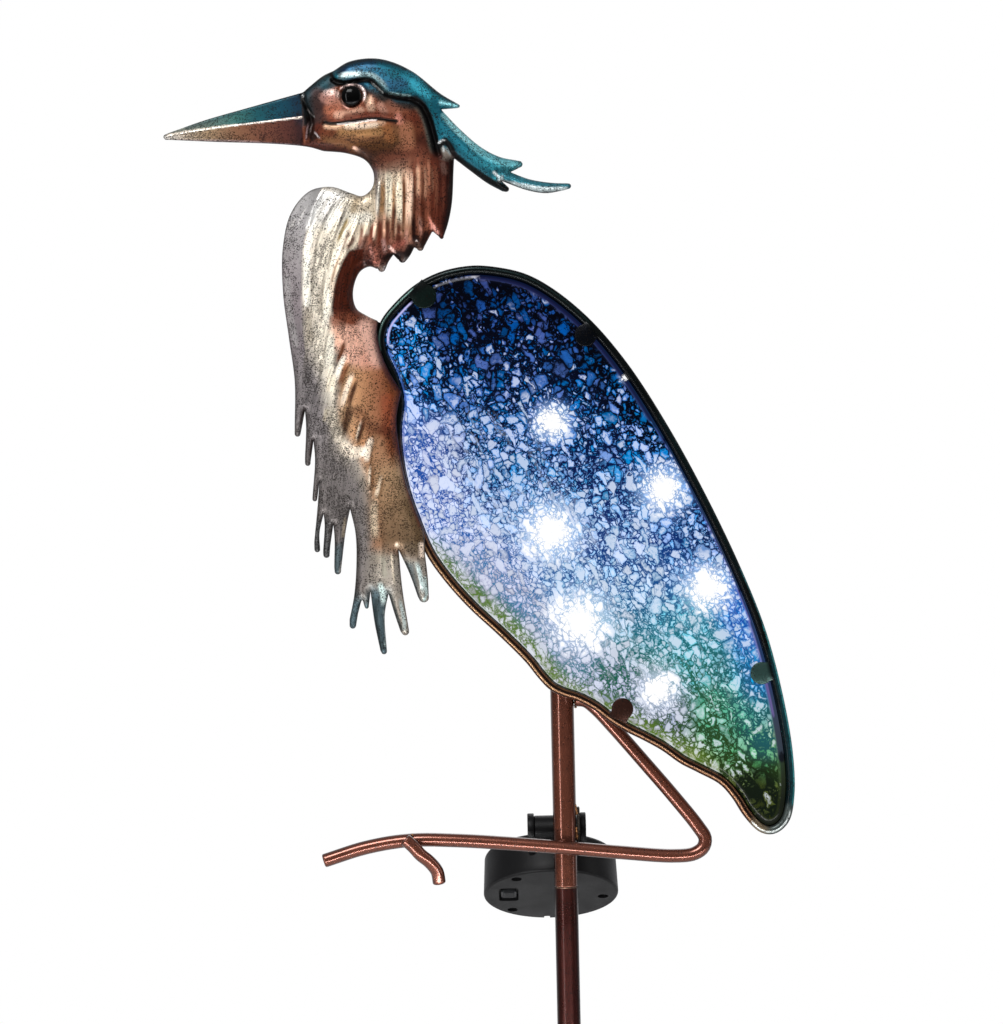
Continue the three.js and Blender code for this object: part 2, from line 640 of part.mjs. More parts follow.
// An ear is round about the pin, with a root that goes into the drum
function earOutline() {
  const outline = [];
  for (let i = 0; i <= 12; i += 1) {
    const turn = -CASE_TILT - Math.PI * 0.62 + (Math.PI * 1.3 * i) / 12;
    outline.push(at(HINGE.x - EAR_R * Math.sin(turn), HINGE.y + EAR_R * Math.cos(turn)));
  }
  outline.push(at(HINGE.x - 3.5, HINGE.y - 13), at(HINGE.x + 6, HINGE.y - 14));
  return outline;
}

function solarHousing() {
  let drum = caseDrum();
  for (const span of [LEFT_EAR_X, RIGHT_EAR_X]) {
    drum = drum.add(solidOf(plateAcrossX(earOutline(), ...span)));
  }
  drum = drum.add(solidOf(hingeRod(BARREL_R, [LEFT_EAR_X[1] - GAP, BARREL_X[1]])));
  drum = drum.subtract(solidOf(hingeRod(LUG_R + 1, [BARREL_X[1], RIGHT_EAR_X[0]])));
  drum = drum.subtract(solidOf(hingeRod(PIN_R + GAP, [LEFT_EAR_X[0] - 5, RIGHT_EAR_X[1] + 5], PIN_SIDES)));
  const recess = new THREE.BoxGeometry(SWITCH.width, SWITCH.length, 2 * SWITCH.depth);
  recess.translate(SWITCH.x, SWITCH.y, 0);
  drum = drum.subtract(solidOf(leaned(recess)));
  for (const [x, y] of WELLS) {
    const well = new THREE.CylinderGeometry(WELL.radius, WELL.radius, 2 * WELL.depth, WELL.sides);
    well.rotateX(Math.PI / 2);
    well.translate(x, y, 0);
    drum = drum.subtract(solidOf(leaned(well)));
  }
  const notch = new THREE.BoxGeometry(NOTCH.width, NOTCH.length, NOTCH.height);
  notch.translate(NOTCH.x, CASE_R, 0);
  return geometryOf(drum.subtract(solidOf(leaned(notch))));
}

function solarPanel() {
  const floor = PANEL_TOP - PANEL_T;
  return leaned(turned([[0, floor], [PANEL_R, floor], [PANEL_R, PANEL_TOP], [0, PANEL_TOP]], CASE_SIDES));
}

function switchKnob() {
  const knob = new THREE.BoxGeometry(KNOB.width, KNOB.length, KNOB.height);
  knob.translate(SWITCH.x, KNOB.y, SWITCH.depth - GAP - KNOB.height / 2);
  return leaned(knob);
}

// The ornament
const ornament = new THREE.Group();

function place(name, geometry, material, parent = ornament) {
  const mesh = new THREE.Mesh(geometry, material);
  mesh.name = name;
  parent.add(mesh);
}

place('stake', uprightRod(TUBE_D / 2, 0, JOINT_Z - GAP / 2), STAKE_PAINT);
place('leg_tube', uprightRod(TUBE_D / 2, JOINT_Z + GAP / 2, TUBE_TOP), COPPER_PAINT);
place('bent_leg', bentRod(BENT_LEG, ROD_D), COPPER_PAINT);
place('toe', bentRod(TOE, TOE_D), COPPER_PAINT);
place('heron_plate', heronPlate(), BREAST_PAINT);
place('eye_bead', eyeBead(), GLOSS_BLACK);
place('wing_tray', wingTray(), DARK_PAINT);
place('wing_glass', wingGlass(), CRACKLE_GLASS);
LAMPS.forEach((spot, i) => place(`led_${i + 1}`, lamp(spot), LAMP));
place('hinge_lug', hingeLug(), DARK_PAINT);

const solarUnit = new THREE.Group();
ornament.add(solarUnit);
place('solar_housing', solarHousing(), CASE_PLASTIC, solarUnit);
place('solar_panel', solarPanel(), SOLAR_CELL, solarUnit);
const pinSpan = [LEFT_EAR_X[0] + PIN_INSET, RIGHT_EAR_X[1] - PIN_INSET];
place('hinge_pin', hingeRod(PIN_R, pinSpan, PIN_SIDES), PIN_STEEL, solarUnit);
place('switch_knob', switchKnob(), CASE_PLASTIC, solarUnit);

export default ornament;
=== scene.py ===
"""Looks of a solar heron garden ornament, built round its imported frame.

Sizes are in millimetres and turn into metres where a mesh is made. +X runs from the beak to the tail,
+Y away from the viewer, and +Z up from the ground.
"""

import logging
import math
from dataclasses import dataclass, field
from enum import Enum
from typing import Callable, Iterable, Sequence

import bmesh
import bpy
import numpy as np
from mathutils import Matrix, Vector
from mathutils.geometry import delaunay_2d_cdt


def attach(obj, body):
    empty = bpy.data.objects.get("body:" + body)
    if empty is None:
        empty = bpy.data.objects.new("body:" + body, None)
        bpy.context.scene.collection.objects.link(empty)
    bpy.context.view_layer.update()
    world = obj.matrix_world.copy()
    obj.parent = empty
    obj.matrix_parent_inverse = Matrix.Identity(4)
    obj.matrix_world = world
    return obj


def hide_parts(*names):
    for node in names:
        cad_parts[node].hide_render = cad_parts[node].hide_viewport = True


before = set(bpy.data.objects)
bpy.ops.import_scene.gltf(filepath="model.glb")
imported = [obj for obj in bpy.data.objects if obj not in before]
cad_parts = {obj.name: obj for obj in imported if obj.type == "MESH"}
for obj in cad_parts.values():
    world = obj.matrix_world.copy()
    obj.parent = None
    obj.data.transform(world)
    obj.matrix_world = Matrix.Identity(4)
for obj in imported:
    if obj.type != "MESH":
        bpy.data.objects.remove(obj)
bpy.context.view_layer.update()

LOG = logging.getLogger("ornament")
MM = 0.001
# Points measured against a line at a time, and how close two points count as one, in millimetres
CHUNK = 4000
SAME_POINT = 0.05
Path = Sequence[tuple[float, float]]
Field = Callable[[np.ndarray, np.ndarray, np.ndarray], np.ndarray]


class Body(Enum):
    """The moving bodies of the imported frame."""

    HERON = "heron"
    SOLAR = "solar_unit"
    SWITCH = "switch"


class Finish(Enum):
    """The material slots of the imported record."""

    HERON = "heron_paint"
    COPPER = "copper_paint"
    STAKE = "stake_paint"
    TRAY = "tray_paint"
    GLASS = "crackle_glass"
    LAMP = "lamp"
    EYE = "eye_black"
    CASE = "case_plastic"
    CELL = "solar_cell"
    PIN = "pin_steel"


# Numbers and curves


def smooth(values: np.ndarray, low: float, high: float) -> np.ndarray:
    """Rise smoothly from 0 at low to 1 at high.

    Args:
        values: The numbers to map.
        low: Where the rise starts.
        high: Where the rise ends.

    Returns:
        The mapped numbers.
    """
    t = np.clip((values - low) / (high - low), 0.0, 1.0)
    return t * t * (3.0 - 2.0 * t)


def linear(hex_colour: str) -> np.ndarray:
    """Turn a colour such as "#8a4a30" into linear red, green and blue.

    Args:
        hex_colour: The colour as it looks on a screen.

    Returns:
        Three linear channels.
    """
    value = np.array([int(hex_colour[i : i + 2], 16) / 255.0 for i in (1, 3, 5)])
    return np.where(value <= 0.04045, value / 12.92, ((value + 0.055) / 1.055) ** 2.4)


def rgba(hex_colour: str) -> tuple[float, float, float, float]:
    """Turn a colour such as "#8a4a30" into the four numbers of a colour socket."""
    red, green, blue = linear(hex_colour)
    return float(red), float(green), float(blue), 1.0


def spline(points: Sequence[Sequence[float]], steps: int = 12, closed: bool = False) -> np.ndarray:
    """Run a centripetal curve through given points, as the frame's own outlines do.

    Args:
        points: The points, in two or three dimensions.
        steps: Pieces in each span.
        closed: Whether the curve returns to its start.

    Returns:
        The curve's points, one a row.
    """
    p = np.asarray(points, float)
    spans = len(p) if closed else len(p) - 1
    rows = []
    for i in range(spans):
        if closed:
            p0, p1, p2, p3 = (p[(i + k - 1) % len(p)] for k in range(4))
        else:
            p1, p2 = p[i], p[i + 1]
            p0 = p[i - 1] if i > 0 else 2 * p1 - p2
            p3 = p[i + 2] if i + 2 < len(p) else 2 * p2 - p1
        d0, d1, d2 = (math.sqrt(np.linalg.norm(b - a)) for a, b in ((p0, p1), (p1, p2), (p2, p3)))
        d1 = d1 if d1 > 1e-4 else 1.0
        d0 = d0 if d0 > 1e-4 else d1
        d2 = d2 if d2 > 1e-4 else d1
        t1 = ((p1 - p0) / d0 - (p2 - p0) / (d0 + d1) + (p2 - p1) / d1) * d1
        t2 = ((p2 - p1) / d1 - (p3 - p1) / (d1 + d2) + (p3 - p2) / d2) * d1
        t = (np.arange(steps) / steps)[:, None]
        rows.append(p1 + t1 * t + (3 * (p2 - p1) - 2 * t1 - t2) * t**2 + (2 * (p1 - p2) + t1 + t2) * t**3)
    curve = np.vstack(rows)
    return curve if closed else np.vstack([curve, p[-1]])


def curve_through(points: Path) -> np.ndarray:
    """Run a curve through three or more points, or a straight line through fewer."""
    return spline(points, 8) if len(points) > 2 else np.array(points, float)


def close_to(line: np.ndarray, x: np.ndarray, z: np.ndarray, reach: float) -> np.ndarray:
    """Mark the points in the box round a line, widened by a reach."""
    low, high = line.min(axis=0) - reach, line.max(axis=0) + reach
    return (x > low[0]) & (x < high[0]) & (z > low[1]) & (z < high[1])


def evenly(points: np.ndarray, spacing: float, closed: bool = False) -> np.ndarray:
    """Resample a line at a steady spacing.

    Args:
        points: The line's points.
        spacing: The longest step to leave.
        closed: Whether the line returns to its start.

    Returns:
        The new points, without a copy of the first at the end of a closed line.
    """
    p = np.vstack([points, points[:1]]) if closed else points
    reach = np.concatenate([[0.0], np.cumsum(np.linalg.norm(np.diff(p, axis=0), axis=1))])
    count = max(2, int(math.ceil(reach[-1] / spacing)))
    stops = np.linspace(0.0, reach[-1], count + 1)
    fresh = np.column_stack([np.interp(stops, reach, p[:, k]) for k in range(p.shape[1])])
    return fresh[:-1] if closed else fresh


def nearest(path: np.ndarray, x: np.ndarray, z: np.ndarray, closed: bool = False) -> tuple[np.ndarray, ...]:
    """Measure points against a line.

    Args:
        path: The line's points, one (x, z) a row.
        x: The points' x.
        z: The points' z.
        closed: Whether the line returns to its start.

    Returns:
        Each point's distance, its side (positive to the left of the line's run) and how far along the
        line its nearest spot is, from 0 to 1.
    """
    ends = np.vstack([path, path[:1]]) if closed else path
    a, b = ends[:-1], ends[1:]
    run = b - a
    lengths = np.maximum(np.linalg.norm(run, axis=1), 1e-9)
    starts = np.concatenate([[0.0], np.cumsum(lengths)[:-1]])
    distance, side, share = np.empty(len(x)), np.empty(len(x)), np.empty(len(x))
    for low in range(0, len(x), CHUNK):
        part = slice(low, low + CHUNK)
        px, pz = x[part, None], z[part, None]
        t = np.clip(((px - a[:, 0]) * run[:, 0] + (pz - a[:, 1]) * run[:, 1]) / lengths**2, 0.0, 1.0)
        dx, dz = px - a[:, 0] - t * run[:, 0], pz - a[:, 1] - t * run[:, 1]
        reach = np.hypot(dx, dz)
        pick = reach.argmin(axis=1)
        rows = np.arange(len(pick))
        distance[part] = reach[rows, pick]
        side[part] = np.sign(run[pick, 0] * dz[rows, pick] - run[pick, 1] * dx[rows, pick])
        share[part] = (starts[pick] + t[rows, pick] * lengths[pick]) / lengths.sum()
    return distance, side, share


def inside(outline: np.ndarray, x: np.ndarray, z: np.ndarray) -> np.ndarray:
    """Measure the distance to a closed outline, positive inside it.

    Args:
        outline: The outline's points.
        x: The points' x.
        z: The points' z.

    Returns:
        The signed distances.
    """
    distance = nearest(outline, x, z, closed=True)[0]
    a, b = outline, np.roll(outline, -1, axis=0)
    odd = np.zeros(len(x), bool)
    for (ax, az), (bx, bz) in zip(a, b):
        if az != bz:
            odd ^= ((az > z) != (bz > z)) & (x < ax + (z - az) * (bx - ax) / (bz - az))
    return np.where(odd, distance, -distance)


def joined(runs: Iterable[np.ndarray]) -> np.ndarray:
    """Chain several lines into one closed outline, without doubled points.

    Args:
        runs: The lines, in order.

    Returns:
        The outline's points.
    """
    outline: list[np.ndarray] = []
    for run in runs:
        for point in run:
            if not outline or np.linalg.norm(point - outline[-1]) > SAME_POINT:
                outline.append(point)
    if np.linalg.norm(outline[0] - outline[-1]) < SAME_POINT:
        outline.pop()
    return np.array(outline)


# Meshes


def inset(outline: np.ndarray, distance: float) -> np.ndarray:
    """Set a clockwise outline in by a distance."""
    run = np.roll(outline, -1, axis=0) - np.roll(outline, 1, axis=0)
    run /= np.maximum(np.linalg.norm(run, axis=1)[:, None], 1e-9)
    return outline + np.column_stack([run[:, 1], -run[:, 0]]) * distance


def band(rings: int, sides: int) -> list[tuple[int, int, int, int]]:
    """List the four-sided faces between rings of points."""
    pairs = ((i * sides + s, i * sides + (s + 1) % sides) for i in range(rings - 1) for s in range(sides))
    return [(a, b, b + sides, a + sides) for a, b in pairs]


@dataclass
class Draft:
    """A mesh in the making, in millimetres.

    Attributes:
        points: Rows of x, y and z.
        faces: Corner numbers of each face.
    """

    points: list[np.ndarray] = field(default_factory=list)
    faces: list[tuple[int, ...]] = field(default_factory=list)
    count: int = 0

    def add(self, points: np.ndarray, faces: Iterable[Sequence[int]]) -> "Draft":
        """Add a shell of its own.

        Args:
            points: The shell's points.
            faces: Its faces, counted from its own first point.

        Returns:
            This draft, for the next call.
        """
        self.faces += [tuple(int(i) + self.count for i in face) for face in faces]
        self.points.append(np.asarray(points, float))
        self.count += len(points)
        return self

    def tube(self, path: np.ndarray, radii: np.ndarray | float, sides: int = 28) -> "Draft":
        """Sweep a round bar along a path, with flat ends.

        Args:
            path: The centre line.
            radii: One radius, or one for each point of the path.
            sides: Sides of the bar.

        Returns:
            This draft.
        """
        path = np.asarray(path, float)
        radii = np.broadcast_to(np.asarray(radii, float), (len(path),))
        along = np.gradient(path, axis=0)
        along /= np.linalg.norm(along, axis=1)[:, None]
        across = np.cross([0.0, 1.0, 0.0], along[0])
        if np.linalg.norm(across) < 1e-6:
            across = np.array([1.0, 0.0, 0.0])
        turns = 2 * np.pi * np.arange(sides) / sides
        rows = []
        for centre, direction, radius in zip(path, along, radii):
            across = across - direction * across.dot(direction)
            across /= np.linalg.norm(across)
            up = np.cross(direction, across)
            ring = np.outer(np.cos(turns), across) + np.outer(np.sin(turns), up)
            rows.append(centre + radius * ring)
        faces: list[tuple[int, ...]] = [*band(len(path), sides), tuple(range(sides))[::-1]]
        faces.append(tuple(range((len(path) - 1) * sides, len(path) * sides)))
        return self.add(np.vstack(rows), faces)

    def lathe(self, profile: Path, sides: int = 64) -> "Draft":
        """Turn a profile of (radius, height) about the Z axis.

        Args:
            profile: The profile, from axis to axis.
            sides: Sides of the turned form.

        Returns:
            This draft.
        """
        turns = 2 * np.pi * np.arange(sides) / sides
        across, along = np.cos(turns), np.sin(turns)
        rows = [np.column_stack([r * across, r * along, np.full(sides, h)]) for r, h in profile[1:-1]]
        points = np.vstack(rows + [[0.0, 0.0, profile[0][1]], [0.0, 0.0, profile[-1][1]]])
        faces: list[tuple[int, ...]] = [*band(len(rows), sides)]
        low, high = len(rows) * sides, len(rows) * sides + 1
        last = (len(rows) - 1) * sides
        for s in range(sides):
            faces.append((low, (s + 1) % sides, s))
            faces.append((high, last + s, last + (s + 1) % sides))
        return self.add(points, faces)

    def rings(self, outline: np.ndarray, rows: Path) -> "Draft":
        """Stack an outline that is set in row by row, with a cap on the first and the last row.

        Args:
            outline: The outline in the X-Z plane, clockwise.
            rows: Each row's inset and its depth along Y.

        Returns:
            This draft.
        """
        count = len(outline)
        points = []
        for distance, y in rows:
            flat = inset(outline, distance)
            points.append(np.column_stack([flat[:, 0], np.full(count, y), flat[:, 1]]))
        faces: list[tuple[int, ...]] = [(a, d, c, b) for a, b, c, d in band(len(rows), count)]
        faces.append(tuple(range(count)))
        faces.append(tuple(range((len(rows) - 1) * count, len(rows) * count))[::-1])
        return self.add(np.vstack(points), faces)

    def slab(self, outline: np.ndarray, front: float, back: float) -> "Draft":
        """Extrude a clockwise X-Z outline between two depths."""
        return self.rings(outline, [(0.0, back), (0.0, front)])

    def take(self, other: "Draft") -> "Draft":
        """Add everything that another draft holds."""
        return self.add(np.vstack(other.points), other.faces)

    def moved(self, place: Callable[[np.ndarray], np.ndarray]) -> "Draft":
        """Move every point by a function of the points."""
        self.points = [place(np.vstack(self.points))]
        return self

    def mesh(self, name: str, sharp_deg: float = 32.0) -> bpy.types.Object:
        """Make the Blender object.

        Args:
            name: The object's name.
            sharp_deg: Edges that bend more than this stay crisp.

        Returns:
            The new object, linked to the scene.
        """
        data = bpy.data.meshes.new(name)
        data.from_pydata((np.vstack(self.points) * MM).tolist(), [], self.faces)
        data.validate()
        face_outwards(data)
        data.polygons.foreach_set("use_smooth", [True] * len(data.polygons))
        data.set_sharp_from_angle(angle=math.radians(sharp_deg))
        data.update()
        piece = bpy.data.objects.new(name, data)
        bpy.context.scene.collection.objects.link(piece)
        return piece


def face_outwards(data: bpy.types.Mesh) -> None:
    """Turn every face of a closed mesh outwards."""
    work = bmesh.new()
    work.from_mesh(data)
    bmesh.ops.recalc_face_normals(work, faces=work.faces)
    work.to_mesh(data)
    work.free()


@dataclass(frozen=True)
class Weave:
    """How the points of a sheet are spread.

    Attributes:
        rim: Spacing along the outline.
        insets: Distances from the outline that get a row of points each.
        zones: Rows of lowest z, highest z and grid pitch.
        creases: Lines that get points and edges of their own.
    """

    rim: float
    insets: Sequence[float]
    zones: Sequence[tuple[float, float, float]]
    creases: Sequence[np.ndarray] = ()

    def triangles(self, outline: np.ndarray) -> tuple[np.ndarray, list[tuple[int, ...]], np.ndarray]:
        """Spread the points over an outline and join them.

        Args:
            outline: The outline in the X-Z plane, clockwise.

        Returns:
            The flat points, the triangles and each point's distance to the outline.
        """
        rim = evenly(outline, self.rim, closed=True)
        fixed, edges = [rim], [(i, (i + 1) % len(rim)) for i in range(len(rim))]
        count = len(rim)
        for crease in self.creases:
            line = evenly(crease, self.rim)
            line = line[inside(rim, line[:, 0], line[:, 1]) > 0.5 * self.rim]
            edges += [(count + i, count + i + 1) for i in range(len(line) - 1)]
            fixed.append(line)
            count += len(line)
        loose = []
        for distance in self.insets:
            row = inset(rim, distance)
            loose.append(row[inside(rim, row[:, 0], row[:, 1]) > 0.93 * distance])
        low, high = rim.min(axis=0), rim.max(axis=0)
        for bottom, top, pitch in self.zones:
            zs = np.arange(max(bottom, low[1]), min(top, high[1]), pitch)
            gx, gz = np.meshgrid(np.arange(low[0], high[0], pitch), zs)
            gx = gx + (np.arange(len(zs)) % 2)[:, None] * pitch / 2
            grid = np.column_stack([gx.ravel(), gz.ravel()])
            clear = (self.insets[-1] if self.insets else 0.0) + 0.4 * pitch
            loose.append(grid[inside(rim, grid[:, 0], grid[:, 1]) > clear])
        free = np.vstack(loose)
        for line in fixed[1:]:
            free = free[nearest(line, free[:, 0], free[:, 1])[0] > 0.4 * self.rim]
        points = [Vector(p) for p in np.vstack(fixed + [free])]
        flat, _, triangles, *_ = delaunay_2d_cdt(points, edges, [], 1, 1e-5)
        flat = np.array([(v.x, v.y) for v in flat])
        return flat, [tuple(t) for t in triangles], np.maximum(inside(rim, flat[:, 0], flat[:, 1]), 0.0)


def sheet_between(outline: np.ndarray, weave: Weave, front: Field, back: Field) -> Draft:
    """Make a closed sheet whose front and back follow two depth fields.

    Args:
        outline: The outline in the X-Z plane, clockwise.
        weave: How its points are spread.
        front: Depth of the front, from x, z and the distance to the outline.
        back: Depth of the back, likewise.

    Returns:
        The sheet.
    """
    flat, triangles, edge = weave.triangles(outline)
    x, z = flat[:, 0], flat[:, 1]
    count = len(flat)
    every = np.vstack([np.column_stack([x, side(x, z, edge), z]) for side in (front, back)])
    faces = triangles + [tuple(count + i for i in reversed(t)) for t in triangles]
    edges = {(a, b) for t in triangles for a, b in zip(t, t[1:] + t[:1])}
    faces += [(b, a, count + a, count + b) for a, b in edges if (b, a) not in edges]
    return Draft().add(every, faces)


def colours_on(piece: bpy.types.Object, name: str, colours: np.ndarray) -> None:
    """Store one colour a point on a piece.

    Args:
        piece: The object.
        name: The attribute's name.
        colours: Rows of red, green, blue and alpha.
    """
    layer = piece.data.color_attributes.new(name, "FLOAT_COLOR", "POINT")
    layer.data.foreach_set("color", np.ascontiguousarray(colours, dtype=np.float32).ravel())


def points_of(piece: bpy.types.Object) -> np.ndarray:
    """Read a piece's points in millimetres."""
    flat = np.empty(len(piece.data.vertices) * 3, np.float32)
    piece.data.vertices.foreach_get("co", flat)
    return flat.reshape(-1, 3) / MM


def carry(piece: bpy.types.Object, body: Body, finish: Finish, material: bpy.types.Material) -> None:
    """Dress a piece and let it ride on its body.

    Args:
        piece: The object.
        body: The body that it moves with.
        finish: The record's slot that its finish belongs to; not used.
        material: Its material.
    """
    piece.data.materials.clear()
    piece.data.materials.append(material)
    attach(piece, body.value)
    LOG.info("%s rides on %s, %d faces", piece.name, body.value, len(piece.data.polygons))


# Paint, painted highlights and painted shade, laid in strokes and washes


def over(colours: np.ndarray, fresh: np.ndarray, cover: np.ndarray) -> np.ndarray:
    """Lay a colour over others, by the share of each point that it covers."""
    return colours * (1 - cover[:, None]) + fresh * cover[:, None]


@dataclass(frozen=True)
class Stroke:
    """One airbrush stroke; strokes lay paint and also painted highlights and painted shade.

    Attributes:
        colour: Its colour.
        path: The points that it runs through.
        radius: Half its full-strength width.
        soft: Width of its soft edge.
        strength: How much it covers.
        taper: Whether it thins out towards both ends.
    """

    colour: str
    path: Path
    radius: float = 1.0
    soft: float = 3.0
    strength: float = 1.0
    taper: bool = False

    def apply(self, colours: np.ndarray, x: np.ndarray, z: np.ndarray) -> np.ndarray:
        """Lay the stroke over a set of points.

        Args:
            colours: The colours so far, linear.
            x: The points' x.
            z: The points' z.

        Returns:
            The new colours.
        """
        line = np.array(self.path, float)
        reach = self.radius + self.soft
        near = close_to(line, x, z, 2 * reach)
        if not near.any():
            return colours
        if len(line) == 1:
            distance, along = np.hypot(x[near] - line[0, 0], z[near] - line[0, 1]), 0.5
        else:
            distance, _, along = nearest(curve_through(line), x[near], z[near])
        cover = self.strength * (1.0 - smooth(distance, self.radius, reach))
        if self.taper:
            cover = cover * smooth(along, 0.0, 0.3) * (1.0 - smooth(along, 0.7, 1.0))
        fresh = colours.copy()
        fresh[near] = over(fresh[near], linear(self.colour), cover)
        return fresh


@dataclass(frozen=True)
class Wash:
    """A colour change along a line, inside an outline.

    Attributes:
        start: Where the first colour lies.
        end: Where the last colour lies.
        stops: Shares of the way and their colours.
        outline: The outline that holds the wash.
        soft: Width of its soft edge.
        strength: How much it covers.
    """

    start: tuple[float, float]
    end: tuple[float, float]
    stops: Sequence[tuple[float, str]]
    outline: Path
    soft: float = 2.0
    strength: float = 1.0

    def apply(self, colours: np.ndarray, x: np.ndarray, z: np.ndarray) -> np.ndarray:
        """Lay the wash over a set of points.

        Args:
            colours: The colours so far, linear.
            x: The points' x.
            z: The points' z.

        Returns:
            The new colours.
        """
        run = np.subtract(self.end, self.start)
        share = ((x - self.start[0]) * run[0] + (z - self.start[1]) * run[1]) / run.dot(run)
        places = [stop[0] for stop in self.stops]
        table = np.array([linear(stop[1]) for stop in self.stops])
        hues = np.column_stack([np.interp(share, places, table[:, k]) for k in range(3)])
        edge = inside(np.array(self.outline, float), x, z)
        cover = self.strength * smooth(edge, -self.soft / 2, self.soft / 2)
        return over(colours, hues, cover)


def patch(colour: str, outline: Path, soft: float = 3.0, strength: float = 1.0) -> Wash:
    """Make a wash of one colour."""
    return Wash((0.0, 0.0), (1.0, 0.0), ((0.0, colour),), outline, soft, strength)


def spots(words: Iterable[str]) -> list[tuple[float, ...]]:
    """Read points such as "-60,728"."""
    return [tuple(map(float, word.split(","))) for word in words]


def coats(table: str) -> tuple[Stroke | Wash, ...]:
    """Read coats of paint from a table.

    Args:
        table: Coats that end with a semicolon each. A stroke gives its colour, half width, soft width,
            strength and points, and a t behind the strength lets it thin out towards both ends. A patch
            gives its colour, soft width, strength and outline. A wash gives its start, end, soft width
            and strength, then after a bar the shares and colours, and after another its outline.

    Returns:
        The coats, in order.
    """
    made: list[Stroke | Wash] = []
    for entry in table.split(";")[:-1]:
        kind, *words = entry.split()
        if kind == "wash":
            parts = (part.split() for part in " ".join(words).split("|"))
            (start, end, soft, strength), stops, outline = parts
            hues = tuple((float(share), hue) for share, hue in zip(stops[::2], stops[1::2]))
            made.append(Wash(*spots([start, end]), hues, spots(outline), float(soft), float(strength)))
        elif kind == "patch":
            made.append(patch(words[0], spots(words[3:]), float(words[1]), float(words[2])))
        else:
            radius, soft, strength = words[:3]
            sizes = (float(radius), float(soft), float(strength.rstrip("t")))
            made.append(Stroke(kind, spots(words[3:]), *sizes, strength.endswith("t")))
    return tuple(made)


def lay(colours: np.ndarray, coats: Iterable[Stroke | Wash], x: np.ndarray, z: np.ndarray) -> np.ndarray:
    """Lay coats of paint over a set of points, in order.

    Args:
        colours: The colours so far, linear.
        coats: The strokes and washes.
        x: The points' x.
        z: The points' z.

    Returns:
        The new colours.
    """
    for coat in coats:
        colours = coat.apply(colours, x, z)
    return colours


# Node trees

COLOUR = "NodeSocketColor"
VECTOR = "NodeSocketVector"


